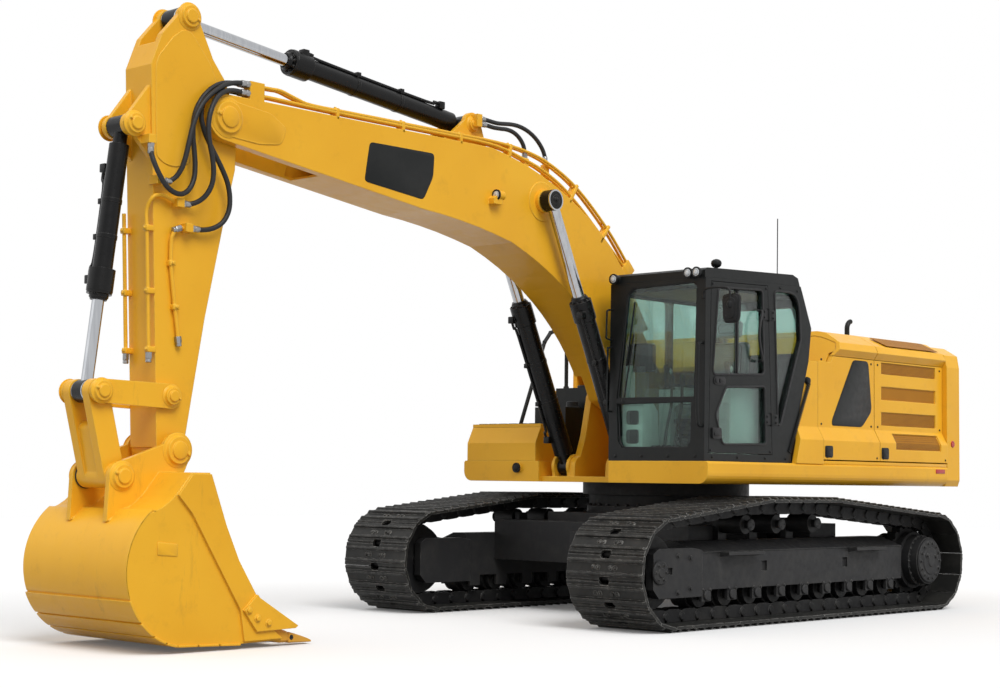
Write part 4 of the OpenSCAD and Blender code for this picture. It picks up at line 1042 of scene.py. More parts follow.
add_block(cab_trim, (1.332, 0.655, 2.130), (1.344, 0.667, 2.680), 0.003,
          Matrix.Rotation(math.radians(-9), 3, "X"))
for y in (0.520, 0.800, 1.080, 1.360):
    add_bolt(cab_trim, (1.362, y, 1.375), (1, 0, 0), 0.010, 0.007)
for x, z in ((1.250, 1.370), (0.900, 1.370), (0.500, 1.370), (0.200, 1.370), (0.020, 2.830), (0.280, 2.838)):
    add_bolt(cab_trim, (x, 1.450, z), (0, 1, 0), 0.009, 0.006)
piece_from("cab_trim", cab_trim, cab_black, "house")

# %% [markdown]
# ## Mirror
# The mirror on the left post has a moulded shell with round corners and a domed back, on a thin bent arm
# with a ball joint. The solid in the frame is a plain box on a bar, good for collisions. The piece made
# here takes its place in the picture and keeps its size. A flat polished plate in its rear side is the
# glass.

# %% Mirror
def mirror_outline(inset, rounding):
    """The shell's outline across x, with its lower corners drawn in a little."""
    low, high = 2.442 + inset, 2.678 - inset
    return rounded([(1.668 + inset, low), (1.817 - inset, low), (1.829 - inset, high),
                    (1.656 + inset, high)], rounding)


mirror = bmesh.new()
for inset, low, high in ((0.0, 1.377, 1.404), (0.012, 1.400, 1.414), (0.034, 1.410, 1.423)):
    add_plate(mirror, mirror_outline(inset, 0.045), "x", low, high, 0.005)
arm = [(1.340, 1.430, 2.690), (1.366, 1.456, 2.728), (1.390, 1.530, 2.738), (1.404, 1.640, 2.736),
       (1.410, 1.715, 2.722), (1.414, 1.742, 2.680), (1.418, 1.744, 2.600)]
add_tube(mirror, smooth_path(arm, 5), 0.009, 10)
add_lathe(mirror, (1.414, 1.744, 2.560), (0.2, 0, 1),
          [(0, 0.010), (0.010, 0.021), (0.030, 0.025), (0.050, 0.020), (0.058, 0.011)], 20)
add_lathe(mirror, (1.340, 1.432, 2.660), (0, 0, 1),
          [(0, 0.014), (0.004, 0.018), (0.056, 0.018), (0.060, 0.014)], 18)
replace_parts(piece_from("mirror", mirror, plastic_black, "house"), "mirror_left")
mirror_face = bmesh.new()
add_plate(mirror_face, mirror_outline(0.010, 0.035), "x", 1.373, 1.379, 0.002)
piece_from("mirror_face", mirror_face, rod_chrome, "house")

# %% [markdown]
# ## Cab inside
# Through the glass one sees a pale lining, a console at the right front with two recesses, the monitor,
# travel levers with their pedals and the two joysticks on the armrests. An empty cab would look like a
# toy's, and a dark one like a hole. So the lining is light grey, and the controls have their real shapes.

# %% Cab inside
lining_grey = dark_finish("lining_grey", srgb(196, 200, 192), srgb(120, 122, 116), 0.25, 0.5, 0.65,
                          260, 0.0, BARE)
console_grey = dark_finish("console_grey", srgb(214, 222, 216), srgb(140, 146, 140), 0.2, 0.42, 0.58,
                           300, 0.0, BARE)
for material_slot in cad_nodes["consoles"].material_slots:
    material_slot.material = console_grey
lining = bmesh.new()
add_block(lining, (0.02, 0.505, 2.800), (1.24, 1.390, 2.822), 0.006)
add_block(lining, (0.560, 0.500, 1.395), (1.300, 0.514, 1.545), 0.006)
add_block(lining, (0.130, 0.500, 1.395), (0.560, 0.514, 2.000), 0.006)
add_block(lining, (0.130, 0.530, 1.390), (1.300, 1.380, 1.402), 0.004)
for number in range(9):
    y = 0.62 + number * 0.085
    add_block(lining, (0.90, y, 1.400), (1.28, y + 0.03, 1.408), 0.003)
piece_from("cab_lining", lining, lining_grey, "house")

front_console = bmesh.new()
CONSOLE_SIDE = [(1.285, 1.405), (1.285, 1.800), (1.250, 1.835), (1.150, 1.835), (1.080, 1.760),
                (1.060, 1.405)]
add_plate(front_console, CONSOLE_SIDE, "y", 0.530, 0.760, 0.012)
piece_from("front_console", front_console, console_grey, "house")
# The two recesses are flat black plates: their darkness is a painted shade for their depth.
recess_shade_plates = bmesh.new()
for low, high in ((1.480, 1.600), (1.640, 1.760)):
    add_plate(recess_shade_plates, rounded(rectangle(0.580, 0.715, low, high), 0.03), "x", 1.279, 1.2875, 0.002)
piece_from("console_recess_shade", recess_shade_plates, plastic_black, "house")

controls = bmesh.new()
for y in (0.880, 0.990):
    add_tube(controls, smooth_path([(1.150, y, 1.410), (1.120, y, 1.600), (1.060, y, 1.800),
                                    (1.050, y, 1.980)], 4), 0.013, 10)
    add_lathe(controls, (1.050, y, 1.960), (0, 0, 1),
              [(0, 0.014), (0.012, 0.024), (0.090, 0.022), (0.106, 0.012)], 16)
    add_lathe(controls, (1.148, y, 1.404), (0, 0, 1),
              [(0, 0.060), (0.012, 0.058), (0.028, 0.040), (0.036, 0.046), (0.050, 0.028),
               (0.062, 0.020)], 18)
    add_block(controls, (1.160, y - 0.045, 1.430), (1.275, y + 0.045, 1.446), 0.005,
              Matrix.Rotation(math.radians(-24), 3, "Y"))
for y in (0.620, 1.260):
    add_lathe(controls, (0.760, y, 1.955), (0.12, 0, 1),
              [(0, 0.060), (0.014, 0.058), (0.026, 0.042), (0.036, 0.047), (0.048, 0.033),
               (0.060, 0.036), (0.074, 0.022), (0.100, 0.017)], 20)
    add_lathe(controls, (0.772, y, 2.050), (0.16, 0, 1),
              [(0, 0.018), (0.020, 0.026), (0.070, 0.024), (0.110, 0.030), (0.128, 0.024),
               (0.136, 0.010)], 16)
add_plate(controls, rounded(rectangle(0.496, 0.765, 2.095, 2.335), 0.025), "x", 1.124, 1.176, 0.008)
piece_from("cab_controls", controls, plastic_black, "house")
screen_face = bmesh.new()
add_block(screen_face, (1.121, 0.520, 2.135), (1.1255, 0.741, 2.310), 0.001)
screen_glass, screen_shader = new_material("screen_glass", Roughness=0.08, Coat_Weight=1.0)
join_nodes(screen_glass, ramp(screen_glass, noise(screen_glass, 9, 3),
                              [(0.3, srgb(20, 26, 30)), (0.7, srgb(34, 42, 48))]),
           screen_shader.inputs["Base Color"])
piece_from("monitor_screen", screen_face, screen_glass, "house")

# %% [markdown]
# ## Seat
# The operator's seat has a cushion, a high back and a headrest, in grey cloth with piped seams, on a
# bellows over its suspension. Boxes with round edges would stay boxes. Each pad is blown up a little like a
# real one, with Blender's cloth and some pressure from inside. The piping comes after that, on the swollen
# shape's own edges.

# %% Seat
def seat_cloth_finish():
    material, shader = new_material("seat_cloth", Sheen_Weight=0.35, Sheen_Roughness=0.5, Roughness=0.9)
    threads = add(material, "TexWave", Vector=place(material), Scale=160, Distortion=1.5).outputs["Fac"]
    tone = ramp(material, noise(material, 12, 5), [(0.3, srgb(112, 117, 115)), (0.7, srgb(138, 143, 140))])
    join_nodes(material, mix(material, ramp(material, threads, [(0.3, grey(0)), (0.7, grey(0.35))]), tone,
                             srgb(66, 68, 70)),
               shader.inputs["Base Color"])
    bump(material, shader, threads, 0.25, 0.001)
    return material


seat_cloth = seat_cloth_finish()
PAD_VOXEL = 0.011
PAD_CAP = 0.016


def swell(piece):
    """Blow a pad up with cloth pressure, and keep every point within a cap of where it was."""
    start = [vertex.co.copy() for vertex in piece.data.vertices]
    cloth = piece.modifiers.new("cloth", "CLOTH")
    cloth.settings.use_pressure = True
    cloth.settings.uniform_pressure_force = 4
    cloth.settings.effector_weights.gravity = 0
    for number in range(1, 16):
        bpy.context.scene.frame_set(number)
    swollen = piece.evaluated_get(bpy.context.evaluated_depsgraph_get()).data
    moved = [vertex.co.copy() for vertex in swollen.vertices]
    piece.modifiers.remove(cloth)
    bpy.context.scene.frame_set(1)
    for vertex, old, new in zip(piece.data.vertices, start, moved):
        step = new - old
        vertex.co = old + step * min(1, PAD_CAP / max(step.length, 1e-6))


def pad(name, low, high, lean, pivot, bevel):
    """A padded block: rounded, remeshed, swollen, then leant about a point."""
    shape = bmesh.new()
    add_block(shape, low, high, 0)
    bmesh.ops.bevel(shape, geom=list(shape.edges), offset=bevel, segments=4, profile=0.6, affect="EDGES")
    piece = piece_from(name, shape, seat_cloth, "house", 80)
    remesh = piece.modifiers.new("remesh", "REMESH")
    remesh.mode = "VOXEL"
    remesh.voxel_size = PAD_VOXEL
    fine = bpy.data.meshes.new_from_object(piece.evaluated_get(bpy.context.evaluated_depsgraph_get()))
    piece.modifiers.remove(remesh)
    piece.data = fine
    swell(piece)
    turn = Matrix.Translation(pivot) @ Matrix.Rotation(lean, 4, "Y") @ Matrix.Translation(-Vector(pivot))
    piece.data.transform(turn)
    piece.data.shade_smooth()
    return turn


SEAT_PIVOT = Vector((0.400, 0.940, 1.780))
SEAM_INSET, SEAM_RISE = 0.030, 0.013
PADS = [("seat_cushion", (0.370, 0.720, 1.700), (0.860, 1.160, 1.820), 0.0, 0.045),
        ("seat_back", (0.330, 0.720, 1.800), (0.440, 1.160, 2.400), -0.10, 0.045),
        ("seat_headrest", (0.345, 0.815, 2.430), (0.425, 1.065, 2.580), -0.10, 0.035)]
seat_seams = bmesh.new()
for name, low, high, lean, bevel in PADS:
    turn = pad(name, low, high, lean, SEAT_PIVOT, bevel)
    x0, y0, z0 = (value + 0.006 + SEAM_INSET for value in low)
    x1, y1, z1 = (value - 0.006 - SEAM_INSET for value in high)
    if name == "seat_cushion":
        seam = [(x, y, z1 + SEAM_INSET + SEAM_RISE) for x, y in rectangle(x0, x1, y0, y1)]
    else:
        seam = [(x1 + SEAM_INSET + SEAM_RISE, y, z) for y, z in rectangle(y0, y1, z0, z1)]
    path = soften([turn @ Vector(point) for point in seam], 0.05)
    add_tube(seat_seams, path, 0.004, 6, closed=True)
piece_from("seat_piping", seat_seams, seal_rubber, "house", 60)

seat_base = bmesh.new()
for number in range(8):
    grow = 0.012 if number % 2 else 0.0
    z = 1.420 + number * 0.031
    add_block(seat_base, (0.430 - grow, 0.760 - grow, z), (0.800 + grow, 1.120 + grow, z + 0.033), 0.010)
add_block(seat_base, (0.400, 0.735, 1.665), (0.840, 1.145, 1.703), 0.010)
add_block(seat_base, (0.395, 0.730, 1.400), (0.845, 1.150, 1.424), 0.008)
for y in (0.880, 1.000):
    add_rod(seat_base, (0.318, y, 2.360), (0.308, y, 2.470), 0.009)
seat_frame = piece_from("seat_base", seat_base, plastic_black, "house")
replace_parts(seat_frame, "seat")

# %% [markdown]
# ## Steel pipes on the boom
# Oil goes out to the stick in rigid steel pipes along the boom's top. They leave the hose block at the
# nose, drop to the boom, follow its bend on small clamps and end at a block near the cab. Curves with a
# bevel would do for these, as they are fixed. Mesh tubes are used all the same, so that pipes and clamps
# become one painted piece.

# %% Steel pipes on the boom
PIPE_RADIUS, PIPES_Y = 0.013, (0.222, 0.182)
UPPER_PIPE = [(5.02, 3.960), (4.93, 3.962), (4.84, 3.962), (4.70, 3.930), (4.56, 3.906), (4.20, 3.908),
              (3.80, 3.912), (3.45, 3.914), (3.05, 3.918), (2.75, 3.922), (2.48, 3.918), (2.25, 3.902),
              (2.00, 3.858), (1.75, 3.770), (1.537, 3.660), (1.316, 3.505), (1.091, 3.318), (0.899, 3.125),
              (0.82, 3.035)]
LOWER_PIPE = [(5.02, 3.895), (4.92, 3.896), (4.80, 3.894), (4.40, 3.890), (3.80, 3.892), (3.20, 3.896),
              (2.75, 3.898), (2.48, 3.880), (2.25, 3.832), (2.00, 3.768), (1.75, 3.662), (1.50, 3.505),
              (1.25, 3.315), (1.03, 3.145), (0.86, 3.01)]
CLAMP_STATIONS = [4.30, 3.62, 2.98, 2.40, 1.60, 1.18]


def height_on(route, x):
    for (ax, az), (bx, bz) in zip(route, route[1:]):
        if bx <= x <= ax:
            return az + (bz - az) * (x - ax) / (bx - ax)


boom_pipes = bmesh.new()
for route in (UPPER_PIPE, LOWER_PIPE):
    for y in PIPES_Y:
        add_tube(boom_pipes, smooth_path([(x, y, z) for x, z in route], 5), PIPE_RADIUS, 10)
for x in CLAMP_STATIONS:
    slope = math.atan2(height_on(LOWER_PIPE, x + 0.1) - height_on(LOWER_PIPE, x - 0.1), 0.2)
    tilt = Matrix.Rotation(-slope, 3, "Y")
    top = height_on(UPPER_PIPE, x) + 0.015
    bottom = height_on(LOWER_PIPE, x) - 0.055
    add_block(boom_pipes, (x - 0.014, 0.160, bottom), (x + 0.014, 0.240, top), 0.004, tilt)
    add_bolt(boom_pipes, Vector((x, 0.202, top)), (-math.sin(slope), 0, math.cos(slope)), 0.011, 0.010)
add_block(boom_pipes, (0.80, 0.06, 2.93), (0.93, 0.236, 3.10), 0.010,
          Matrix.Rotation(math.radians(-45), 3, "Y"))
piece_from("boom_pipes", boom_pipes, paint, "boom")

# %% [markdown]
# ## Pins and their collars
# Wherever two parts of the front turn on each other there is a thick steel pin in a welded collar, held by
# a keeper bolt. These round stepped bosses are what makes the linkage look strong. Each is a small turned
# part on a list of places: the two ends of one pin are made at once, on the body that carries the pin.
# Black rings seal the power link's foot.

# %% Pins and their collars
BOOM_NOSE, IDLER_PIN = (5.337, 3.689), (5.721, 1.705)
BUCKET_PIN, BUCKET_EAR = (5.695, 1.336), (6.142, 1.156)
BOOM_FOOT, BOOM_EYE = (0.980, 1.285), (2.009, 3.493)
STICK_CYLINDER_FOOT, STICK_CYLINDER_EYE = (2.751, 4.051), (5.621, 4.372)
BUCKET_CYLINDER_FOOT, BUCKET_CYLINDER_EYE = (6.058, 3.550), (6.287, 1.720)
BOOM_SIDE, STICK_SIDE, LINK_SIDE, EAR_SIDE = 0.240, 0.150, 0.188, 0.234


def add_pin_ends(shape, x, z, y, radius, keeper):
    """A stepped collar with its pin's end, on both sides at a distance y from the middle."""
    for side in (1, -1):
        out = (0, side, 0)
        add_lathe(shape, (x, side * (y - 0.002), z), out,
                  [(0, radius * 1.30), (0.004, radius * 1.28), (0.012, radius * 1.06), (0.022, radius),
                   (0.030, radius * 0.96), (0.030, radius * 0.66), (0.040, radius * 0.64),
                   (0.044, radius * 0.56)], 32)
        if keeper:
            angle = math.radians(keeper)
            add_bolt(shape, (x + radius * 0.82 * math.cos(angle), side * (y + 0.026),
                             z + radius * 0.82 * math.sin(angle)), out,
                     radius * 0.13, 0.014)


PINS = {
    "boom": [(BOOM_NOSE, BOOM_SIDE, 0.115, 10), (STICK_CYLINDER_FOOT, 0.135, 0.055, 0)],
    "stick": [(STICK_CYLINDER_EYE, STICK_SIDE, 0.078, 200), (BUCKET_CYLINDER_FOOT, STICK_SIDE, 0.070, 30)],
    "idler_links": [(IDLER_PIN, LINK_SIDE, 0.060, 200), (BUCKET_CYLINDER_EYE, LINK_SIDE, 0.068, 20)],
    "bucket": [(BUCKET_PIN, EAR_SIDE, 0.095, 200), (BUCKET_EAR, EAR_SIDE, 0.080, 20)],
}
for body, places in PINS.items():
    pin_ends = bmesh.new()
    for pin, y, radius, keeper in places:
        add_pin_ends(pin_ends, *pin, y, radius, keeper)
    piece_from(f"pin_ends_{body}", pin_ends, paint_worn, body)

SEAL_Y = 0.176
SEAL = [(0, 0.055), (0, 0.083), (0.004, 0.087), (0.010, 0.087), (0.014, 0.083), (0.014, 0.055)]
link_seals = bmesh.new()
for side in (1, -1):
    add_lathe(link_seals, (BUCKET_EAR[0], side * SEAL_Y, BUCKET_EAR[1]), (0, side, 0), SEAL, 40, hollow=True)
piece_from("link_seals", link_seals, seal_rubber, "power_link")

# %% [markdown]
# ## Welded plates on the boom and stick
# Boom and stick are welded boxes, and their sides carry doubling plates where the load enters, each with a
# bead of weld round it. A bump map could hint at them, but their edges catch real light. Each is a thin
# plate with a small tube along its outline as the bead. The dark panel on the boom is a thin plate with a
# soft edge.

# %% Welded plates on the boom and stick
def add_doubler(shape, outline, y, side, thick=0.006, bead=0.005, rounding=0.04):
    loop = rounded(outline, rounding)
    low, high = sorted((side * (y - 0.001), side * (y + thick)))
    add_plate(shape, loop, "y", low, high, 0.002)
    if bead:
        add_tube(shape, [(x, side * y, z) for x, z in loop], bead, 6, closed=True)


STICK_PLATE = [(5.90, 3.98), (5.875, 4.05), (5.76, 4.20), (5.68, 4.265), (5.605, 4.262), (5.55, 4.20),
               (5.43, 4.06), (5.36, 3.90), (5.60, 3.33), (5.72, 3.295), (5.80, 3.305), (5.875, 3.35)]
NOSE_PLATE = [(5.20, 3.800), (5.345, 3.818), (5.44, 3.765), (5.46, 3.66), (5.38, 3.562), (5.05, 3.540),
              (4.85, 3.565), (4.80, 3.69), (4.95, 3.775)]
EYE_RADIUS = 0.165
EYE_RING = [(BOOM_EYE[0] + EYE_RADIUS * math.cos(a * math.pi / 12),
             BOOM_EYE[1] + EYE_RADIUS * math.sin(a * math.pi / 12)) for a in range(24)]
for body, y, plates in (("stick", STICK_SIDE, [STICK_PLATE]), ("boom", BOOM_SIDE, [NOSE_PLATE, EYE_RING])):
    doublers = bmesh.new()
    for outline in plates:
        for side in (1, -1):
            add_doubler(doublers, outline, y, side)
    piece_from(f"doubling_plates_{body}", doublers, paint, body)

PANEL_THICK = 0.0025
BARE_PANEL = [(3.977, 3.714), (3.287, 3.720), (3.298, 3.533), (3.400, 3.340), (4.026, 3.406)]
boom_panel = bmesh.new()
for side in (1, -1):
    add_doubler(boom_panel, BARE_PANEL, BOOM_SIDE, side, PANEL_THICK, 0, 0.035)
piece_from("bare_panel_boom", boom_panel, cab_black, "boom")

# %% [markdown]
# ## Cylinder heads and lines
# A hydraulic cylinder has more to it than a tube and a rod: a bolted head where the rod comes out, a wiper
# ring, an oil port at each end, and a steel line along the barrel to the far port. They are made for any
# barrel from its axis, its length and its radius, so one function dresses all four.

# %% Cylinder heads and lines
HEAD_LENGTH = 0.178
PORT_BLOCK, SADDLE_BLOCK = Vector((0.03, 0.03, 0.03)), Vector((0.02, 0.02, 0.02))
LINE_RADIUS = 0.012


def dress_cylinder(name, body, foot, eye, y, length, radius, rod_radius, head_step, line_side):
    """Head, wiper, bolts, ports and line of a barrel. head_step widens the head, line_side turns the line."""
    foot, eye = Vector((foot[0], y, foot[1])), Vector((eye[0], y, eye[1]))
    along = (eye - foot).normalized()
    across = Vector((0, 1, 0))
    up = along.cross(across)
    shape = bmesh.new()
    end = foot + along * length
    wide = radius + head_step
    head = [(0, radius - 0.003), (0, radius + 0.001), (0.006, wide), (0.160, wide), (0.166, wide - 0.004),
            (0.179, wide - 0.004), (0.179, radius - 0.003)]
    wiper = [(0, rod_radius), (0, rod_radius + 0.022), (0.026, rod_radius + 0.022),
             (0.032, rod_radius + 0.016), (0.044, rod_radius + 0.012), (0.044, rod_radius)]
    add_lathe(shape, end - along * HEAD_LENGTH, along, head, 40, hollow=True)
    add_lathe(shape, end - along * 0.002, along, wiper, 32, hollow=True)
    bolt_ring(shape, end - along * 0.001, along, radius - 0.008, 10, 0.009, 0.010)
    out = across * math.cos(line_side) + up * math.sin(line_side)
    high, low = foot + along * (length - 0.10), foot + along * 0.30
    for port in (high, low):
        middle = port + out * (radius + 0.020)
        add_block(shape, middle - PORT_BLOCK, middle + PORT_BLOCK, 0.006)
    far, near = out * (radius + 0.030), out * (radius + LINE_RADIUS)
    line = [high + far, high + far - along * 0.08, high + near - along * 0.16,
            low + near + along * 0.16, low + far + along * 0.08, low + far]
    add_tube(shape, smooth_path(line, 4), LINE_RADIUS, 10)
    for share in (0.3, 0.62):
        middle = low + (high - low) * share
        band = [(0, radius - 0.002), (0, radius + 0.003), (0.028, radius + 0.003), (0.028, radius - 0.002)]
        add_lathe(shape, middle - along * 0.014, along, band, 32, hollow=True)
        saddle = middle + out * (radius + 0.014)
        add_block(shape, saddle - SADDLE_BLOCK, saddle + SADDLE_BLOCK, 0.004)
    piece_from(name, shape, barrel_black, body)


def dress_rod_eye(name, body, eye, ys, half, radius):
    """Black eyes on the ends of chromed rods, with the pin's bolt in the middle."""
    shape = bmesh.new()
    for y in ys:
        side = 1 if y >= 0 else -1
        add_lathe(shape, (eye[0], y - side * half, eye[1]), (0, side, 0),
                  [(0, radius - 0.006), (0.006, radius), (2 * half - 0.014, radius),
                   (2 * half - 0.004, radius - 0.010), (2 * half, radius - 0.016), (2 * half, radius * 0.5),
                   (2 * half + 0.003, radius * 0.48)], 36)
        add_bolt(shape, (eye[0], y + side * (half + 0.003), eye[1]), (0, side, 0), 0.016, 0.012)
    piece_from(name, shape, barrel_black, body)


BOOM_CYLINDER_Y = 0.343
for word, y, line_side in (("left", BOOM_CYLINDER_Y, -60), ("right", -BOOM_CYLINDER_Y, -120)):
    dress_cylinder(f"boom_cylinder_head_{word}", "boom_barrels", BOOM_FOOT, BOOM_EYE, y, 1.54, 0.085, 0.052,
                   0.0118, math.radians(line_side))
dress_cylinder("stick_cylinder_head", "stick_barrel", STICK_CYLINDER_FOOT, STICK_CYLINDER_EYE, 0, 1.85, 0.078,
               0.048, 0.024, math.radians(62))
dress_cylinder("bucket_cylinder_head", "bucket_barrel", BUCKET_CYLINDER_FOOT, BUCKET_CYLINDER_EYE, 0, 1.18,
               0.068, 0.044, 0.022, math.radians(160))
dress_rod_eye("boom_rod_eyes", "boom_rods", BOOM_EYE, (BOOM_CYLINDER_Y, -BOOM_CYLINDER_Y), 0.0565, 0.0895)
dress_rod_eye("bucket_rod_eye", "bucket_rod", BUCKET_CYLINDER_EYE, (0,), 0.063, 0.0775)
dress_rod_eye("stick_rod_eye", "stick_rod", STICK_CYLINDER_EYE, (0,), 0.081, 0.0795)

# %% [markdown]
# ## Pipes on the stick
# Steel pipes go on from the hoses' ends: one bends over the stick's front edge and runs down its left
# corner, one drops down the left side, and one runs down the right corner. Each ends in a capped coupling,
# and small saddles hold them. Curves would do here as well, but mesh tubes and their saddles become one
# painted piece.

# %% Pipes on the stick
def stick_front(z):
    """How far forward the stick's front face is at a height."""
    return 5.810 + 0.0481 * (z - 1.353)


STICK_PIPE_RADIUS, CORNER_Y, CORNER_END = 0.014, 0.132, 1.98
SIDE_PIPE_END = (5.668, 0.172, 2.10)
stick_pipes, stick_couplings = bmesh.new(), bmesh.new()
corner_pipe = [(5.735, 0.180, 3.045), (5.80, 0.182, 3.072), (5.86, 0.182, 3.080), (5.915, 0.176, 3.055)]
corner_pipe += [(stick_front(z) + 0.042, CORNER_Y, z) for z in (2.97, 2.80, 2.40, CORNER_END)]
side_pipe = [(5.655, 0.185, 2.872), (5.705, 0.186, 2.862), (5.742, 0.180, 2.815), (5.748, 0.172, 2.74),
             (5.738, 0.172, 2.55), SIDE_PIPE_END]
add_tube(stick_pipes, smooth_path(corner_pipe, 5), STICK_PIPE_RADIUS, 10)
add_tube(stick_pipes, smooth_path([(x, -y, z) for x, y, z in corner_pipe[4:]], 3), STICK_PIPE_RADIUS, 10)
add_tube(stick_pipes, smooth_path(side_pipe, 5), STICK_PIPE_RADIUS, 10)
for z in (2.85, 2.42, 2.02):
    for y in (CORNER_Y, -CORNER_Y):
        add_block(stick_pipes, (stick_front(z) - 0.004, y - 0.024, z - 0.020),
                  (stick_front(z) + 0.060, y + 0.024, z + 0.020), 0.005)
        add_bolt(stick_pipes, (stick_front(z) + 0.060, y, z), (1, 0, 0), 0.010, 0.009)
for x, z in ((5.741, 2.62), (5.700, 2.32)):
    add_block(stick_pipes, (x - 0.026, 0.146, z - 0.018), (x + 0.026, 0.190, z + 0.018), 0.004)
    add_bolt(stick_pipes, (x, 0.190, z), (0, 1, 0), 0.010, 0.009)
corner_end_x = stick_front(CORNER_END) + 0.042
for end, way in ((SIDE_PIPE_END, (-0.15, 0, -0.99)),
                 ((corner_end_x, CORNER_Y, CORNER_END), (0, 0, -1)),
                 ((corner_end_x, -CORNER_Y, CORNER_END), (0, 0, -1)),
                 ((5.700, 0.186, 2.864), (0.9, 0, -0.3))):
    add_lathe(stick_couplings, end, way, [(-0.02, 0.017), (-0.02, 0.024), (0.022, 0.024), (0.026, 0.020)], 6)
    add_lathe(stick_couplings, end, way, [(0.020, 0.019), (0.046, 0.021), (0.050, 0.016)], 18)
piece_from("stick_pipes", stick_pipes, paint, "stick")
piece_from("stick_couplings", stick_couplings, fitting_steel, "stick")

# %% [markdown]
# ## Work lamps
# Round work lamps stand on the boom's left side and along the front of the cab's roof. Their housings are
# in the frame already, and a sphere for a lens would bulge like an eye. A turned bezel and a shallow lens
# bowl finish each of them. A port in the right deck's front has the same shape with a dark cover.

# %% Work lamps
LAMP_PLACES = {"boom": [(2.615, 0.282, 3.472)],
               "house": [(1.394, 0.512, 2.877), (1.394, 1.300, 2.877), (1.394, 1.388, 2.877)]}
DECK_PORT = (1.155, -0.808, 1.272)
LAMP_RADIUS = 0.038
BEZEL = [(-0.008, LAMP_RADIUS), (-0.008, LAMP_RADIUS + 0.007), (0.006, LAMP_RADIUS + 0.007),
         (0.009, LAMP_RADIUS + 0.002), (0.004, LAMP_RADIUS - 0.005)]
LENS_BOWL = [(0.002, LAMP_RADIUS - 0.004), (0.005, LAMP_RADIUS - 0.006), (0.010, LAMP_RADIUS * 0.6),
             (0.012, LAMP_RADIUS * 0.2)]


def add_lamp(rim, lens, front):
    add_lathe(rim, front, (1, 0, 0), BEZEL, 28)
    add_lathe(lens, front, (1, 0, 0), LENS_BOWL, 28)


for body, lamps in LAMP_PLACES.items():
    rims, lenses = bmesh.new(), bmesh.new()
    for front in lamps:
        add_lamp(rims, lenses, front)
    piece_from(f"lamp_rims_{body}", rims, plastic_black, body)
    piece_from(f"lamp_lenses_{body}", lenses, clear_lens, body)
port_rim, port_cover = bmesh.new(), bmesh.new()
add_lamp(port_rim, port_cover, DECK_PORT)
piece_from("deck_port_rim", port_rim, plastic_black, "house")
piece_from("deck_port_cover", port_cover, ring_black, "house")

# %% [markdown]
# ## Grilles
# Cooling air goes in through perforated sheets: three recessed ones in each rear door, a folded one below
# them, and more on the slopes and the top of the hood. Punching thousands of holes as geometry would be
# wasteful, because each is smaller than a pixel. The sheet is real and the holes are a regular dot pattern
# in its colour and bump, painted dark as the shade behind them.

# %% Grilles
def perforated_paint():
    """Darker yellow sheet with round holes on a square grid, the holes painted dark as the shade behind them.
    """
    material, shader = new_material("perforated_paint", Roughness=0.55, Specular_IOR_Level=0.2)
    dots = add(material, "TexVoronoi", Vector=place(material), Scale=90, Randomness=0.0).outputs["Distance"]
    holes = ramp(material, dots, [(0.30, grey(1)), (0.36, grey(0))])
    drift = ramp(material, noise(material, 2.0, 5), [(0.35, srgb(172, 114, 20)), (0.7, srgb(160, 104, 17))])
    # The holes are painted dark: painted shade of the space behind the sheet.
    join_nodes(material, mix(material, holes, drift, srgb(62, 42, 14)), shader.inputs["Base Color"])
    bump(material, shader, holes, -0.3, 0.002)
    return material


grille_paint = perforated_paint()


def add_sheet(shape, profile, x0, x1, side, thick=0.003, slant=0.0):
    """A thin sheet along x over a profile of (y, z) points; slant shifts the ends of the upper edge."""
    rings = []
    for number, (y, z) in enumerate(profile):
        shift = slant * number / (len(profile) - 1)
        rings.append([shape.verts.new((x + shift, side * y, z)) for x in (x0, x1)])
    faces = [shape.faces.new((one[0], one[1], two[1], two[0])) for one, two in zip(rings, rings[1:])]
    bmesh.ops.recalc_face_normals(shape, faces=faces)
    bmesh.ops.solidify(shape, geom=faces, thickness=thick)


GRILLE_X = (-2.362, -1.393)
GRILLE_BANDS = [(2.186, 2.282), (1.947, 2.060), (1.711, 1.823)]
LOWER_GRILLE = [(1.479, 1.489), (1.479, 1.541), (1.447, 1.600), (1.432, 1.627)]
HOOD_GRILLE = [(1.436, 2.4435), (1.290, 2.5235)]
for side, body in ((1, "left_rear_door"), (-1, "right_rear_door")):
    sheets = bmesh.new()
    for low, high in GRILLE_BANDS:
        add_sheet(sheets, [(1.417, low), (1.417, high)], *GRILLE_X, side)
    add_sheet(sheets, LOWER_GRILLE, -2.362, -1.553, side)
    piece_from(f"grilles_{body}", sheets, grille_paint, body)
hood_sheets = bmesh.new()
for side in (1, -1):
    add_sheet(hood_sheets, HOOD_GRILLE, -2.40, -1.47, side, 0.004, 0.06)
for number in range(5):
    x = -2.36 + number * 0.20
    add_sheet(hood_sheets, [(-0.62, 2.5525), (0.62, 2.5525)], x, x + 0.14, 1, 0.004)
piece_from("hood_grilles", hood_sheets, grille_paint, "engine_hood")

# %% [markdown]
# ## Latches, screws and dark panel
# Each door is held by a black paddle latch in a recessed cup and has small screws at its corners. A large
# dark panel sits on the front door. Painted on, all of these would look flat from the side. So cup, paddle
# and lock are solid, and the panel is a thin plate with its exact outline and a soft edge.

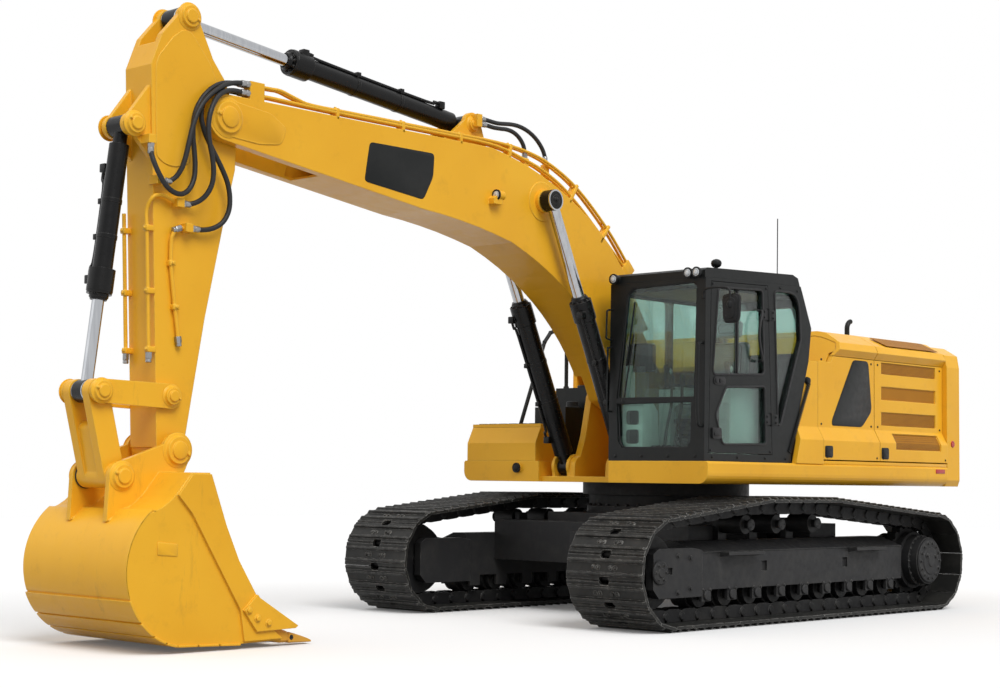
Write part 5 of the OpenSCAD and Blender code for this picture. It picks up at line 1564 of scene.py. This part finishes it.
# %% Latches, screws and dark panel
def add_latch(shape, x, z, y, side):
    cup = rounded(rectangle(x - 0.062, x + 0.062, z - 0.052, z + 0.052), 0.02)
    add_plate(shape, cup, "y", *sorted((side * (y - 0.002), side * (y + 0.004))), 0.002)
    paddle = [(x + (px - x) * 0.76, z + (pz - z) * 0.60 - 0.010) for px, pz in cup]
    add_plate(shape, paddle, "y", *sorted((side * (y + 0.002), side * (y + 0.011))), 0.003)
    add_lathe(shape, (x + 0.034, side * (y + 0.003), z + 0.034), (0, side, 0),
              [(0, 0.012), (0.004, 0.012), (0.006, 0.009)], 14)


DOOR_UPPER, DOOR_LOWER = 1.428, 1.490
DOORS = {"left_front_door": (1, -1.259, -0.336), "left_rear_door": (1, -2.494, -1.271),
         "right_rear_door": (-1, -2.494, -1.271)}
for body, (side, x0, x1) in DOORS.items():
    latch, screws = bmesh.new(), bmesh.new()
    add_latch(latch, x1 - 0.078, 1.446, DOOR_LOWER, side)
    for x in (x0 + 0.05, x1 - 0.05):
        for z, y in ((2.262, DOOR_UPPER), (1.690, DOOR_UPPER), (1.400, DOOR_LOWER)):
            add_bolt(screws, (x, side * y, z), (0, side, 0), 0.007, 0.004)
    piece_from(f"latch_{body}", latch, plastic_black, body)
    piece_from(f"screws_{body}", screws, plastic_black, body)

DOOR_PANEL = [(-0.904, 2.285), (-1.160, 2.285), (-1.218, 1.833), (-1.053, 1.680), (-0.557, 1.680),
              (-0.557, 1.729)]
door_panel = bmesh.new()
add_doubler(door_panel, DOOR_PANEL, DOOR_UPPER, 1, PANEL_THICK, 0, 0.045)
piece_from("bare_panel_door", door_panel, cab_black, "left_front_door")

# %% [markdown]
# ## House details
# Along the deck there is a painted sill under the doors, red reflectors and a round bumper. On top are caps
# with their bolts, grip strips and the feet of a rail. The back has a raised panel, reflectors and a
# camera. Blocks on a flat plane would miss the tail's curve, so the panel is bent round it. What the
# photograph doesn't show is made as on other machines of this kind, because the part is seen from every
# side.

# %% House details
sill = bmesh.new()
for side, x1 in ((1, -0.12), (-1, -0.34)):
    low, high = sorted((side * 1.395, side * 1.482))
    add_block(sill, (-2.488, low, 1.333), (x1, high, 1.366), 0.006)
piece_from("door_sills", sill, paint, "house")

TAIL_RADIUS = 3.108
reflectors = bmesh.new()
for side in (1, -1):
    low, high = sorted((side * 1.488, side * 1.496))
    add_block(reflectors, (-2.429, low, 1.273), (-2.263, high, 1.312), 0.003)
    add_lathe(reflectors, (-2.60, side * 1.478, 1.560), (0, side, 0),
              [(0, 0.032), (0.008, 0.032), (0.012, 0.026)], 24)
for angle in (-0.37, 0.37):
    middle = Vector((-TAIL_RADIUS * math.cos(angle), TAIL_RADIUS * math.sin(angle), 1.385))
    half = Vector((0.010, 0.110, 0.025))
    add_block(reflectors, middle - half, middle + half, 0.004, Matrix.Rotation(-angle, 3, "Z"))
piece_from("reflectors", reflectors, red_lens, "house")

tail_panel = bmesh.new()
PANEL_STEPS, PANEL_SPREAD = 14, 0.26
edge_steps = [-PANEL_SPREAD + 2 * PANEL_SPREAD * k / PANEL_STEPS for k in range(PANEL_STEPS + 1)]
for low, high in ((1.620, 2.120), (1.250, 1.290)):
    rings = []
    for angle in edge_steps:
        tuck = 0.020 if angle in (edge_steps[0], edge_steps[-1]) else 0.0
        profile = [(TAIL_RADIUS - 0.004, low), (TAIL_RADIUS + 0.010, low + 0.012 + tuck),
                   (TAIL_RADIUS + 0.010, high - 0.012 - tuck), (TAIL_RADIUS - 0.004, high)]
        rings.append([tail_panel.verts.new((-r * math.cos(angle), r * math.sin(angle), z))
                      for r, z in profile])
    for one, two in zip(rings, rings[1:]):
        for k in range(3):
            tail_panel.faces.new((one[k], one[k + 1], two[k + 1], two[k]))
    for ring in (rings[0], rings[-1]):
        tail_panel.faces.new(ring)
piece_from("tail_panel", tail_panel, paint, "house")

house_trim = bmesh.new()
add_lathe(house_trim, (-0.155, 1.426, 2.060), (0, 1, 0),
          [(0, 0.034), (0.012, 0.034), (0.030, 0.026), (0.034, 0.014)], 20)
for x, y in ((-2.70, 0.70), (-2.70, -0.70)):
    add_lathe(house_trim, (x, y, 2.505), (0, 0, 1),
              [(0, 0.075), (0.010, 0.075), (0.016, 0.066), (0.016, 0.030)], 24)
for x, y, radius in ((-0.17, -0.80, 0.085), (-0.17, -1.15, 0.060)):
    add_lathe(house_trim, (x, y, 2.028), (0, 0, 1),
              [(0, radius * 1.25), (0.012, radius * 1.25), (0.014, radius), (0.050, radius),
               (0.058, radius * 0.85)], 28)
    bolt_ring(house_trim, (x, y, 2.040), (0, 0, 1), radius * 1.13, 8, 0.008, 0.007)
add_lathe(house_trim, (0.40, -0.80, 1.836), (0, 0, 1),
          [(0, 0.070), (0.014, 0.070), (0.020, 0.058), (0.060, 0.055), (0.066, 0.045)], 24)
for row in range(7):
    y = -1.43 + row * 0.06
    add_block(house_trim, (0.09, y, 1.334), (0.68, y + 0.032, 1.341), 0.002)
for foot in ((0.678, -1.330, 1.335), (-0.120, -1.330, 2.030)):
    add_lathe(house_trim, foot, (0, 0, 1), [(0, 0.050), (0.012, 0.050), (0.016, 0.030), (0.050, 0.026)], 20)
add_block(house_trim, (-2.99, -0.06, 2.43), (-2.90, 0.06, 2.535), 0.010)
add_lathe(house_trim, (-2.985, 0, 2.482), (-1, 0, 0),
          [(0, 0.034), (0.016, 0.034), (0.020, 0.022), (0.012, 0.016)], 20)
piece_from("house_trim", house_trim, plastic_black, "house")

toolbox_trim = bmesh.new()
for row in range(6):
    y = -1.40 + row * 0.125
    add_block(toolbox_trim, (0.76, y, 1.671), (1.03, y + 0.085, 1.678), 0.003)
piece_from("toolbox_trim", toolbox_trim, plastic_black, "toolbox_lid")

# %% [markdown]
# ## Brackets at the boom's foot
# The boom and its two cylinders stand on brackets in the middle of the house, with collars round their
# pins. Behind them rigid oil pipes come up from the deck in bright clamps and end in couplings. Nothing
# here bends or moves against the house, so turned collars and plain swept tubes are enough.

# %% Brackets at the boom's foot
foot_trim = bmesh.new()
for side in (1, -1):
    add_lathe(foot_trim, (BOOM_FOOT[0], side * 0.437, BOOM_FOOT[1]), (0, side, 0),
              [(0, 0.078), (0.006, 0.078), (0.014, 0.062), (0.026, 0.058),
               (0.030, 0.050), (0.030, 0.024)], 28)
    add_bolt(foot_trim, (BOOM_FOOT[0], side * 0.465, BOOM_FOOT[1]), (0, side, 0), 0.014, 0.012)
    for x in (0.55, 0.70, 0.86):
        add_bolt(foot_trim, (x, side * 0.50, 1.200), (0, 0, 1), 0.016, 0.014)
piece_from("foot_collars", foot_trim, paint, "house")

FOOT_PIPE_X = -0.10
foot_pipes, foot_clamps = bmesh.new(), bmesh.new()
for y, lean in ((0.120, 0.0), (0.060, 0.02), (-0.060, 0.02), (-0.120, 0.0)):
    path = [(FOOT_PIPE_X, y, 1.20), (FOOT_PIPE_X, y, 1.32), (-0.08, y, 1.46), (lean, y, 1.56),
            (0.06 + lean, y, 1.58)]
    add_tube(foot_pipes, smooth_path(path, 4), 0.022, 12)
    add_lathe(foot_clamps, (0.052 + lean, y, 1.58), (1, 0, 0),
              [(0, 0.030), (0.030, 0.030), (0.034, 0.024)], 6)
    add_lathe(foot_clamps, (FOOT_PIPE_X, y, 1.27), (0, 0, 1), [(0, 0.029), (0.030, 0.029)], 16)
piece_from("foot_pipes", foot_pipes, barrel_black, "house")
piece_from("foot_clamps", foot_clamps, fitting_steel, "house")

# %% [markdown]
# ## Bucket
# The bucket's back is a rolled shell. Where it scrapes through soil it carries thick wear plates, laid side
# by side with a small gap and a little wider than the shell, so that their ends show as notches along the
# side. A normal map would not change that outline. The plates are bent round the shell's own arc, and the
# sides get their doubling plates and bolts.

# %% Bucket
BUCKET_HALF = 0.600
SHELL_CENTRE, SHELL_RADIUS = (5.845, 0.546), 0.500
SHELL_SKIN = (52, -20.5)
WEAR_BANDS = [(-22, -40), (-42, -56), (-58, -69), (-71, -80)]
FLOOR_LINE = ((5.932, 0.0536), (5.395, 0.036))
WEAR_THICK, WEAR_HALF = 0.011, BUCKET_HALF + 0.012
SKIN_THICK, WELD_RADIUS = 0.003, 0.007
SEAM_X, SEAM_Z = 6.132, 0.934


def on_shell(degrees, radius):
    angle = math.radians(degrees)
    return SHELL_CENTRE[0] + radius * math.cos(angle), SHELL_CENTRE[1] + radius * math.sin(angle)


def on_floor(share):
    """A place on the bucket's flat floor, as a share of the way along it."""
    (x0, z0), (x1, z1) = FLOOR_LINE
    return x0 + (x1 - x0) * share, z0 + (z1 - z0) * share


def bent_plate(first, last, thick, steps):
    """The outline of a plate bent round the shell between two angles."""
    angles = [first + (last - first) * k / steps for k in range(steps + 1)]
    outside = [on_shell(angle, SHELL_RADIUS + thick) for angle in angles]
    return outside + [on_shell(angle, SHELL_RADIUS - 0.004) for angle in reversed(angles)]


bucket_wear = bmesh.new()
add_plate(bucket_wear, bent_plate(*SHELL_SKIN, SKIN_THICK, 36), "y", -BUCKET_HALF, BUCKET_HALF, 0.001)
for first, last in WEAR_BANDS:
    add_plate(bucket_wear, bent_plate(first, last, WEAR_THICK, 8), "y", -WEAR_HALF, WEAR_HALF, 0.003)
for start, end in ((0.01, 0.30), (0.33, 0.63), (0.66, 0.97)):
    (x0, z0), (x1, z1) = on_floor(start), on_floor(end)
    band = [(x0, z0 + 0.004), (x0, z0 - WEAR_THICK), (x1, z1 - WEAR_THICK), (x1, z1 + 0.004)]
    add_plate(bucket_wear, band, "y", -WEAR_HALF, WEAR_HALF, 0.003)
SMALL_PLATE = [(6.110, 0.733), (5.950, 0.717), (5.948, 0.637), (6.107, 0.647)]
for side in (1, -1):
    add_doubler(bucket_wear, SMALL_PLATE, BUCKET_HALF, side, 0.005, 0, 0.008)
    for x, z in ((5.372, 0.262), (5.296, 0.205), (5.200, 0.170)):
        add_bolt(bucket_wear, (x, side * 0.640, z), (0, side, 0), 0.020, 0.016)
add_tube(bucket_wear, [(SEAM_X, y, SEAM_Z) for y in (-BUCKET_HALF, 0, BUCKET_HALF)], WELD_RADIUS, 8)
EAR_WELD = [(5.930, 1.080), (6.028, 0.968), (6.134, 0.936), (6.245, 0.862)]
for side in (1, -1):
    for y in (0.192, 0.236):
        add_tube(bucket_wear, [(x, side * y, z) for x, z in EAR_WELD], WELD_RADIUS, 6)
piece_from("bucket_wear_plates", bucket_wear, paint_worn, "bucket")

# %% [markdown]
# ## Bucket teeth
# A tooth is two castings: an adaptor that straddles the lip and a point that slides over its nose and is
# locked by a pin from the side. Between the teeth a guard covers the lip. A stretched cube would do from
# far off. Here each casting is lofted through a few sections, broad at the socket and drawn out to a blunt
# chisel, and the same pair is set five times along the lip.

# %% Bucket teeth
TOOTH_STEP = 0.270
TOOTH_PLACES = [-0.540 + TOOTH_STEP * k for k in range(5)]
POINT = [(4.758, 0.014, 0.026, 0.034), (4.790, 0.014, 0.040, 0.038), (4.850, 0.015, 0.060, 0.043),
         (4.920, 0.017, 0.080, 0.050), (4.975, 0.018, 0.094, 0.055), (4.980, 0.022, 0.090, 0.051)]
ADAPTOR = [(4.960, 0.026, 0.086, 0.044), (5.000, 0.022, 0.104, 0.052), (5.050, 0.022, 0.118, 0.054),
           (5.100, 0.034, 0.128, 0.050), (5.170, 0.082, 0.132, 0.045), (5.270, 0.092, 0.122, 0.040)]
LIP_GUARD = [(5.020, 0.040, 0.070, 0.060), (5.060, 0.034, 0.094, 0.066), (5.120, 0.060, 0.124, 0.066),
             (5.180, 0.096, 0.122, 0.060)]


def add_loft(shape, sections, y, corner=0.22):
    """A casting through sections of (x, lowest, highest, half width), each with its corners cut."""
    rings = []
    for x, low, high, half in sections:
        cut = corner * min(half, (high - low) / 2)
        outline = [(-half, low + cut), (-half + cut, low), (half - cut, low), (half, low + cut),
                   (half, high - cut), (half - cut, high), (-half + cut, high), (-half, high - cut)]
        rings.append([shape.verts.new((x, y + dy, z)) for dy, z in outline])
    add_skin(shape, rings, False)


tooth_castings, tooth_pins = bmesh.new(), bmesh.new()
for y in TOOTH_PLACES:
    add_loft(tooth_castings, POINT, y)
    add_loft(tooth_castings, ADAPTOR, y, 0.35)
    for side in (1, -1):
        add_lathe(tooth_pins, (4.955, y + side * 0.046, 0.056), (0, side, 0),
                  [(0, 0.017), (0.010, 0.017), (0.012, 0.013), (0.008, 0.009)], 16)
for y in TOOTH_PLACES[:-1]:
    add_loft(tooth_castings, LIP_GUARD, y + TOOTH_STEP / 2, 0.3)
teeth = piece_from("tooth_castings", tooth_castings, tooth_steel, "bucket")
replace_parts(teeth, "bucket_teeth")
piece_from("tooth_pins", tooth_pins, roller_grey, "bucket")
